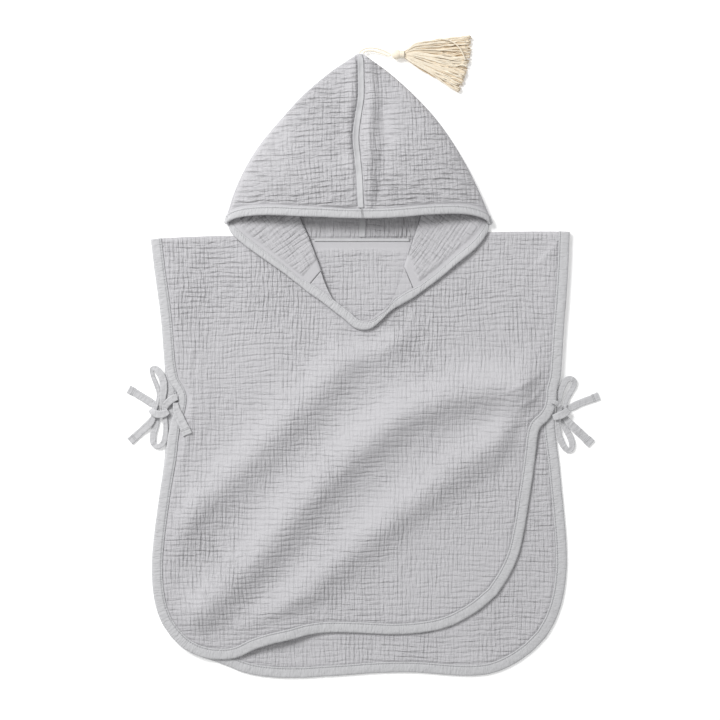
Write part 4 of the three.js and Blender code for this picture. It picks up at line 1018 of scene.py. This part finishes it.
def start_material(name, roughness, sheen=0.0):
    made = bpy.data.materials.new(name)
    made.use_nodes = True
    tree = made.node_tree
    shader = tree.nodes["Principled BSDF"]
    shader.inputs["Roughness"].default_value = roughness
    shader.inputs["Sheen Weight"].default_value = sheen
    shader.inputs["Specular IOR Level"].default_value = 0.25
    return made, tree, shader


def noise(tree, vector, size, detail=2.0):
    """Noise from 0 to 1 whose features measure about size, in metres."""
    return add_node(tree, "ShaderNodeTexNoise", Vector=vector, Scale=0.5 / size, Detail=detail).outputs["Fac"]


def weave(tree, vector, pitch, turn):
    """Height of a plain weave whose threads lie pitch apart, in metres, turned by an angle."""
    mapped = add_node(tree, "ShaderNodeMapping", Vector=vector, Rotation=(0, 0, turn),
                      Scale=(2 * math.pi / pitch,) * 3).outputs[0]
    split = add_node(tree, "ShaderNodeSeparateXYZ", Vector=mapped)
    warp = maths(tree, "SINE", split.outputs[0])
    weft = maths(tree, "SINE", split.outputs[1])
    return maths(tree, "MULTIPLY_ADD", warp, weft, 0.0)


def muslin_material(colour, painted_valley_shade):
    # Crinkled double gauze: broken grooves across, finer ribs along and a faint open weave, all soft. The
    # grooves are also darkened in colour: painted shade, as falls deep in narrow creases.
    made, tree, shader = start_material("Crinkled cotton double gauze, undyed grey", 0.95, 0.12)
    crinkles = add_node(tree, "ShaderNodeAttribute")
    crinkles.attribute_name = "crinkle"
    parts = add_node(tree, "ShaderNodeSeparateColor", Color=crinkles.outputs["Color"])
    across, along, rows = parts.outputs[0], parts.outputs[1], parts.outputs[2]
    columns = crinkles.outputs["Alpha"]
    where = add_node(tree, "ShaderNodeTexCoord").outputs["Object"]

    def puckered(scale_across, scale_along, seed, detail=1.5):
        """Noise from 0 to 1, counted in puckers each way."""
        place = add_node(tree, "ShaderNodeCombineXYZ", X=maths(tree, "MULTIPLY", across, scale_across),
                         Y=maths(tree, "MULTIPLY", along, scale_along), Z=seed).outputs[0]
        return add_node(tree, "ShaderNodeTexNoise", Vector=place, Scale=1.0, Detail=detail).outputs["Fac"]

    def grooves(phase, sway, presence, low, high, power):
        """Narrow valleys once a pucker, which sway a little and come and go."""
        moved = maths(tree, "MULTIPLY_ADD", sway, 0.7, phase)
        wave = maths(tree, "ABSOLUTE", maths(tree, "SINE", maths(tree, "MULTIPLY", moved, math.pi)))
        narrow = maths(tree, "POWER", maths(tree, "SUBTRACT", 1.0, wave), power)
        gate = add_node(tree, "ShaderNodeMapRange", Value=presence, i1=low, i2=high)
        gate.interpolation_type = "SMOOTHSTEP"
        return maths(tree, "MULTIPLY", narrow, gate.outputs[0])

    across_grooves = maths(tree, "MULTIPLY", rows,
                           grooves(along, puckered(0.3, 0.6, 3.3), puckered(0.22, 0.9, 9.1), 0.28, 0.6, 1.15))
    along_grooves = maths(tree, "MULTIPLY", columns,
                          grooves(across, puckered(0.5, 0.25, 5.7), puckered(0.9, 0.22, 12.4),
                                  0.25, 0.62, 1.1))
    wrinkles = maths(tree, "MULTIPLY", rows, puckered(0.4, 2.8, 21.0, 3.5))
    ribs = maths(tree, "MULTIPLY", columns, puckered(2.5, 0.45, 27.0, 2.5))
    valley = maths(tree, "MULTIPLY_ADD", along_grooves, 0.5, across_grooves)
    height = maths(tree, "MULTIPLY_ADD", valley, -0.62, maths(tree, "MULTIPLY", wrinkles, 1.05))
    height = maths(tree, "MULTIPLY_ADD", ribs, 0.75, height)
    # Painted shade: the colour darkens along the grooves' valleys; the noise below adds random tone.
    shade = maths(tree, "MULTIPLY", valley, painted_valley_shade)
    shade = maths(tree, "MULTIPLY_ADD", noise(tree, where, 0.0016, 2.0), 0.08, shade)
    mix = add_node(tree, "ShaderNodeMix")
    mix.data_type = "RGBA"
    tree.links.new(shade, mix.inputs["Factor"])
    mix.inputs[6].default_value = colour[:]
    mix.inputs[7].default_value = [c * 0.42 for c in colour[:3]] + [1.0]
    tree.links.new(mix.outputs[2], shader.inputs["Base Color"])
    soft = add_node(tree, "ShaderNodeBump", Strength=1.0, Distance=0.0023, Height=height)
    fine = add_node(tree, "ShaderNodeBump", Strength=0.5, Distance=0.0001,
                    Height=weave(tree, where, 0.0009, 0.0), Normal=soft.outputs[0])
    tree.links.new(fine.outputs[0], shader.inputs["Normal"])
    return made


def binding_material(colour):
    # Plain bias-cut cotton: smooth beside the muslin, drawn into cross creases by its stitches. Its colour is
    # darkened along the stitch trenches and the ties' seams and hem stitches: painted shade.
    made, tree, shader = start_material("Bias-cut cotton binding, undyed grey", 0.9, 0.1)
    where = add_node(tree, "ShaderNodeTexCoord").outputs["Object"]
    sewn = add_node(tree, "ShaderNodeAttribute")
    sewn.attribute_name = "crinkle"
    parts = add_node(tree, "ShaderNodeSeparateColor", Color=sewn.outputs["Color"])
    strip = add_node(tree, "ShaderNodeCombineXYZ", X=maths(tree, "MULTIPLY", parts.outputs[1], 0.42),
                     Y=maths(tree, "MULTIPLY", parts.outputs[2], 0.13)).outputs[0]
    creases = add_node(tree, "ShaderNodeTexNoise", Vector=strip, Scale=1.0, Detail=2.5).outputs["Fac"]
    ripples = noise(tree, where, 0.0035, 2.0)
    # Painted shade from the attribute's first value, along stitch trenches and seams; the ripples add random
    # tone.
    shade = maths(tree, "MULTIPLY_ADD", parts.outputs[0], 0.4, maths(tree, "MULTIPLY", ripples, 0.16))
    mix = add_node(tree, "ShaderNodeMix")
    mix.data_type = "RGBA"
    tree.links.new(shade, mix.inputs["Factor"])
    mix.inputs[6].default_value = colour[:]
    mix.inputs[7].default_value = [c * 0.45 for c in colour[:3]] + [1.0]
    tree.links.new(mix.outputs[2], shader.inputs["Base Color"])
    height = maths(tree, "MULTIPLY_ADD", creases, 1.6, ripples)
    soft = add_node(tree, "ShaderNodeBump", Strength=1.0, Distance=0.0008, Height=height)
    fine = add_node(tree, "ShaderNodeBump", Strength=0.5, Distance=0.00007,
                    Height=weave(tree, where, 0.0008, math.pi / 4), Normal=soft.outputs[0])
    tree.links.new(fine.outputs[0], shader.inputs["Normal"])
    return made


def yarn_material(name, colour, shadow):
    # Soft unbleached cotton yarn: strands of lower layers painted darker, as painted shade deep in the
    # tassel, and each strand a little lighter or deeper than the next at random.
    made, tree, shader = start_material(name, 0.85, 0.2)
    depth_shade_and_tone = add_node(tree, "ShaderNodeAttribute")
    depth_shade_and_tone.attribute_name = "crinkle"
    parts = add_node(tree, "ShaderNodeSeparateColor", Color=depth_shade_and_tone.outputs["Color"])
    where = add_node(tree, "ShaderNodeTexCoord").outputs["Object"]
    fluff = noise(tree, where, 0.0016, 2.0)
    mix = add_node(tree, "ShaderNodeMix")
    mix.data_type = "RGBA"
    amount = maths(tree, "MULTIPLY_ADD", parts.outputs[0], 0.7, maths(tree, "MULTIPLY", fluff, 0.2))
    tree.links.new(amount, mix.inputs["Factor"])
    mix.inputs[6].default_value = colour[:]
    mix.inputs[7].default_value = shadow[:]
    tree.links.new(mix.outputs[2], shader.inputs["Base Color"])
    twist = add_node(tree, "ShaderNodeBump", Strength=0.8, Distance=0.0004, Height=fluff)
    tree.links.new(twist.outputs[0], shader.inputs["Normal"])
    return made


def thread_material(colour):
    # Sewing thread, set darker than the cloth: painted shade, so that each stitch line reads dark as its
    # stitch holes would in shade.
    made, _, shader = start_material("Cotton sewing thread, pale grey", 0.7)
    shader.inputs["Base Color"].default_value = colour[:]
    return made


def floor_material(colour):
    # A seamless white backdrop paper that glows faintly though it is no lamp: painted light, so that the
    # shadows on it stay pale.
    made, _, shader = start_material("White backdrop paper, matt", 1.0)
    shader.inputs["Base Color"].default_value = colour[:]
    shader.inputs["Emission Color"].default_value = colour[:]
    shader.inputs["Emission Strength"].default_value = BACKDROP_GLOW
    shader.inputs["Specular IOR Level"].default_value = 0.0
    return made


def material(kind):
    """The material of a kind, made once."""
    names = {"muslin": "Crinkled cotton double gauze, undyed grey",
             "binding": "Bias-cut cotton binding, undyed grey", "thread": "Cotton sewing thread, pale grey",
             "tassel": "Unbleached cotton yarn, spun", "floor": "White backdrop paper, matt"}
    found = bpy.data.materials.get(names[kind])
    if found:
        return found
    settings = bpy.context.scene.poncho
    if kind == "muslin":
        return muslin_material(settings.muslin_colour, 0.07)
    if kind == "binding":
        return binding_material(settings.binding_colour)
    if kind == "tassel":
        return yarn_material(names[kind], settings.tassel_colour, settings.tassel_shadow)
    if kind == "thread":
        return thread_material(settings.thread_colour)
    return floor_material(settings.floor_colour)


def dress(obj, kind, slot, *nodes):
    """Gives a piece its material, its body and the solids that it takes the place of; its slot is not used.
    """
    obj.data.materials.append(material(kind))
    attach(obj, "root")
    if nodes:
        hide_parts(*nodes)
    return obj


def add_ties():
    made = {name: ribbon(name.title().replace("_", ""), rows, 80 + k, 0 if "knot" in name else TIE_HEM)
            for k, (name, rows) in enumerate(TIES.items())}
    for name, (_, _, obj) in made.items():
        dress(obj, "binding", "binding", name)
    ends = {"tie_left_front": ["tie_left_knot", "tie_left_tab"], "tie_left_back": [],
            "tie_right_front": ["tie_right_knot"], "tie_right_back": []}
    for name, others in ends.items():
        p, length, obj = made[name]


def add_tassel(strands, half):
    p, _, e, n, _, length = path_frames(TASSEL_LOOP, 0.5)
    run = np.linspace(0, length, len(p))
    turn = np.linspace(0, 2 * math.pi, 17)[:-1]
    twist = turn[None, :] + run[:, None] * 1.1
    r = LOOP_HALF * (0.86 + 0.14 * np.abs(np.cos(twist)))
    section = np.stack([r * np.cos(turn), r * np.sin(turn)], 2)
    loop = sweep_piece("TasselLoop", p, e, n, section)
    dress(loop, "tassel", "tassel_cotton", "tassel_loop")
    bead, wrap = tassel_head()
    skirt = tassel_skirt(strands, half)
    stray = stray_strand(half)
    dress(skirt, "tassel", "tassel_cotton", "tassel")
    for piece in (bead, wrap, stray):
        dress(piece, "tassel", "tassel_cotton")


def flat_area(columns, rows, surface):
    """Area of a grid of a surface in square metres, with no crinkles."""
    s, v = np.meshgrid(np.linspace(0, 1, columns), np.linspace(0, 1, rows), indexing="ij")
    p = surface(s.ravel(), v.ravel()).reshape(columns, rows, -1)
    a, b = p[1:, 1:] - p[:-1, :-1], p[1:, :-1] - p[:-1, 1:]
    return float(np.abs(a[..., 0] * b[..., 1] - a[..., 1] * b[..., 0]).sum() / 2 * MM * MM)


def add_body():
    fine = 1.0
    back = surface_piece("BackPanel", int(165 * fine), int(170 * fine), back_surface)
    front = surface_piece("FrontPanel", int(216 * fine), int(214 * fine), front_surface)
    for piece, node, sides in ((back, "back_panel", BACK_SIDES), (front, "front_panel", FRONT_SIDES)):
        dress(piece, "muslin", "muslin", node)
        top, right, hem, left = sides
        area = flat_area(80, 80, lambda s, v: coons(top, hem, left, right, s, v))
    return back, front


def add_hood():
    for name, node, h in (("HoodLeft", "hood_left", HOOD_LEFT), ("HoodRight", "hood_right", HOOD_RIGHT)):
        half = hood_piece(name, h, 104)
        dress(half, "muslin", "muslin", node)
        v = np.linspace(0, 1, 60)
        p, _ = hood_columns(h, v)


def add_trims():
    facing = surface_piece("NeckFacing", 110, 30, facing_surface)
    dress(facing, "muslin", "muslin", "neck_facing")
    flat_area(60, 20, lambda s, v: lerp(Line(FACING_IN)(s), Line(FACING_OUT)(s), v[:, None]))
    for name, node, columns, rows, surface in (
            ("HoodSeamTape", "hood_seam_tape", 9, 150, crown_tape_surface),
            ("HoodBackTape", "hood_back_tape", 9, 60,
             strip_surface([[-0.2, 240], [0.3, 142]], 3.6, FLOOR + 1.4)),
            ("NeckTape", "neck_tape", 7, 70, strip_surface([[-57, 138.7], [57, 138.7]], 1.7, FLOOR + 1.4))):
        def place(i, j, surface=surface, columns=columns, rows=rows):
            x, y, z, *_ = surface(i / (columns - 1), j / (rows - 1))
            return np.stack([x, y, z], 1), plain(x)

        tape = thicken(grid_mesh(name, columns, rows, place), TAPE)
        dress(tape, "binding", "binding", node)


def add_bindings():
    """The three folded bindings, and the row of stitches along each upper lip."""
    rows = [("BackBinding", "back_binding", BIND_WIDTH, body_edge(BACK_SIDES, edge_heights_back), False),
            ("FrontBinding", "front_binding", BIND_WIDTH, body_edge(FRONT_SIDES, edge_heights_front), False),
            ("HoodBinding", "hood_binding", HOOD_BIND_WIDTH, mouth_edge(), True)]
    for k, (name, node, width, (at, _, e, n), closed) in enumerate(rows):
        section = rumple(binding_section(width, len(at)), 2.4, 91 + 5 * k, 0.24)
        values = np.zeros(section.shape[:2] + (4,))
        # Painted shade for the binding material: darker along the stitch trench.
        values[..., 0] = np.exp(-(((section[..., 0] - width + 1.9) / 0.55) ** 2)) * (section[..., 1] > 1)
        values[..., 1] = np.cumsum(np.linalg.norm(np.diff(at, axis=0, prepend=at[:1]), axis=1))[:, None]
        values[..., 2] = section[..., 0]
        # The tie pulls the front's left edge together, so that its binding shows narrower there.
        share = np.ones(len(at))
        if name == "FrontBinding":
            share -= 0.26 * np.exp(-(((at[:, 1] + 50) / 26) ** 2)) * (at[:, 0] < 0)
        section[..., 0] *= share[:, None]
        piece = sweep_piece(name, at, e, n, section, closed_path=closed, values=values)
        dress(piece, "binding", "binding", node)
        line = at + e * ((width - 1.9) * share)[:, None] + n * 1.6
        if closed:
            line, e, n = (np.concatenate([a, a[:1]]) for a in (line, e, n))
        stitches = thread(name + "Stitches", line, e, n, 3.2, 0.3, 0.5)
        dress(stitches, "thread", "binding")


def colour_setting(name, description, code):
    """A colour that the materials read, kept as linear values."""
    return bpy.props.FloatVectorProperty(name=name, description=description, subtype="COLOR", size=4,
                                         min=0, max=1, default=linear(code))


class PonchoSettings(bpy.types.PropertyGroup):
    """Sizes and counts that the operators read."""

    strands: bpy.props.IntProperty(name="Tassel strands", description="Cut yarns in the tassel", default=190)
    strand_half: bpy.props.FloatProperty(
        name="Strand radius", description="Half the width of one yarn of the tassel, in millimetres",
        default=0.74)
    picture_width: bpy.props.FloatProperty(
        name="Picture width", description="Width of the floor that the camera sees", default=0.864,
        subtype="DISTANCE", unit="LENGTH")
    camera_height: bpy.props.FloatProperty(
        name="Camera height", description="Height of the camera over the floor", default=2.6,
        subtype="DISTANCE", unit="LENGTH")
    key_power: bpy.props.FloatProperty(
        name="Key power", description="Power of the softbox at the upper left", default=97, subtype="POWER",
        unit="POWER")
    key_size: bpy.props.FloatProperty(
        name="Key size", description="Side of the softbox", default=1.25, subtype="DISTANCE", unit="LENGTH")
    key_distance: bpy.props.FloatProperty(
        name="Key distance", description="From the middle of the floor to the softbox", default=3.4,
        subtype="DISTANCE", unit="LENGTH")
    sky_strength: bpy.props.FloatProperty(name="Sky", description="Strength of the even light", default=0.5)
    muslin_colour: colour_setting("Muslin", "Colour of the crinkled cloth", "C7C6C9")
    binding_colour: colour_setting("Binding", "Colour of the bindings, ties and tapes", "CBCBCD")
    # The thread colour is set darker than the cloth, as painted shade for the stitch lines.
    thread_colour: colour_setting("Thread", "Colour of the sewing thread", "B9B9BC")
    tassel_colour: colour_setting("Tassel", "Colour of the tassel's yarns in the light", "F9F1E0")
    # The tassel shade colour is painted shade, mixed into the lower layers of yarn.
    tassel_shadow: colour_setting("Tassel shade", "Colour of the yarns deep in the tassel", "C8A673")
    floor_colour: colour_setting("Floor", "Colour of the backdrop paper", "FCFCFC")


class PONCHO_OT_stage(bpy.types.Operator):
    """Add the camera straight above, the lights and the white floor."""

    bl_idname = "poncho.stage"
    bl_label = "Add stage"

    def execute(self, context):
        settings = context.scene.poncho
        data = bpy.data.cameras.new("Camera")
        data.sensor_width = 36
        data.lens = 36 * settings.camera_height / settings.picture_width
        camera = bpy.data.objects.new("Camera", data)
        camera.location = (*PICTURE_MIDDLE, settings.camera_height)
        context.scene.collection.objects.link(camera)
        context.scene.camera = camera
        # Plain display of the colours, so that the white paper shows as white.
        context.scene.view_settings.view_transform = "Standard"
        box = bpy.data.lights.new("Softbox", "AREA")
        box.energy = settings.key_power
        box.size = settings.key_size
        key = bpy.data.objects.new("Softbox", box)
        towards = Vector(SOFTBOX_SIDE).normalized()
        key.location = towards * settings.key_distance
        key.rotation_euler = towards.to_track_quat("Z", "Y").to_euler()
        context.scene.collection.objects.link(key)
        world = bpy.data.worlds.new("Even light")
        world.use_nodes = True
        world.node_tree.nodes["Background"].inputs["Color"].default_value = (1, 1, 1, 1)
        world.node_tree.nodes["Background"].inputs["Strength"].default_value = settings.sky_strength
        context.scene.world = world
        bm = bmesh.new()
        bmesh.ops.create_grid(bm, x_segments=1, y_segments=1, size=4)
        mesh = bpy.data.meshes.new("Floor")
        bm.to_mesh(mesh)
        bm.free()
        floor = bpy.data.objects.new("Floor", mesh)
        floor.data.materials.append(material("floor"))
        context.scene.collection.objects.link(floor)
        return {"FINISHED"}


class PONCHO_OT_ties(bpy.types.Operator):
    """Add the two tied bows at the sides."""

    bl_idname = "poncho.ties"
    bl_label = "Add ties"

    def execute(self, context):
        add_ties()
        return {"FINISHED"}


class PONCHO_OT_tassel(bpy.types.Operator):
    """Add the tassel and its loop at the hood's tip."""

    bl_idname = "poncho.tassel"
    bl_label = "Add tassel"

    def execute(self, context):
        settings = context.scene.poncho
        add_tassel(settings.strands, settings.strand_half)
        return {"FINISHED"}


class PONCHO_OT_body(bpy.types.Operator):
    """Add the front and back panels."""

    bl_idname = "poncho.body"
    bl_label = "Add body"

    def execute(self, context):
        add_body()
        return {"FINISHED"}


class PONCHO_OT_hood(bpy.types.Operator):
    """Add the two halves of the hood."""

    bl_idname = "poncho.hood"
    bl_label = "Add hood"

    def execute(self, context):
        add_hood()
        return {"FINISHED"}


class PONCHO_OT_trims(bpy.types.Operator):
    """Add the neck facing and the three seam tapes."""

    bl_idname = "poncho.trims"
    bl_label = "Add facing and tapes"

    def execute(self, context):
        add_trims()
        return {"FINISHED"}


class PONCHO_OT_bindings(bpy.types.Operator):
    """Add the bindings of the body and the hood, with their stitches."""

    bl_idname = "poncho.bindings"
    bl_label = "Add bindings"

    def execute(self, context):
        add_bindings()
        return {"FINISHED"}


OPERATORS = (PONCHO_OT_stage, PONCHO_OT_ties, PONCHO_OT_tassel, PONCHO_OT_body, PONCHO_OT_hood,
             PONCHO_OT_trims, PONCHO_OT_bindings)


class PONCHO_PT_panel(bpy.types.Panel):
    """Buttons for each group of pieces."""

    bl_idname = "PONCHO_PT_panel"
    bl_label = "Hooded bath poncho"
    bl_space_type = "VIEW_3D"
    bl_region_type = "UI"
    bl_category = "Poncho"

    def draw(self, context):
        settings = context.scene.poncho
        for name in ("strands", "strand_half", "picture_width", "camera_height", "key_power",
                     "key_size", "key_distance", "sky_strength", "muslin_colour", "binding_colour",
                     "thread_colour", "tassel_colour", "tassel_shadow", "floor_colour"):
            self.layout.prop(settings, name)
        for operator in OPERATORS:
            self.layout.operator(operator.bl_idname)


def register():
    for cls in (PonchoSettings, *OPERATORS, PONCHO_PT_panel):
        bpy.utils.register_class(cls)
    bpy.types.Scene.poncho = bpy.props.PointerProperty(type=PonchoSettings)


def unregister():
    del bpy.types.Scene.poncho
    for cls in reversed((PonchoSettings, *OPERATORS, PONCHO_PT_panel)):
        bpy.utils.unregister_class(cls)


def main():
    register()
    for step in ("stage", "ties", "tassel", "body", "hood", "trims", "bindings"):
        getattr(bpy.ops.poncho, step)()
    bpy.context.view_layer.update()


if __name__ == "__main__":
    main()
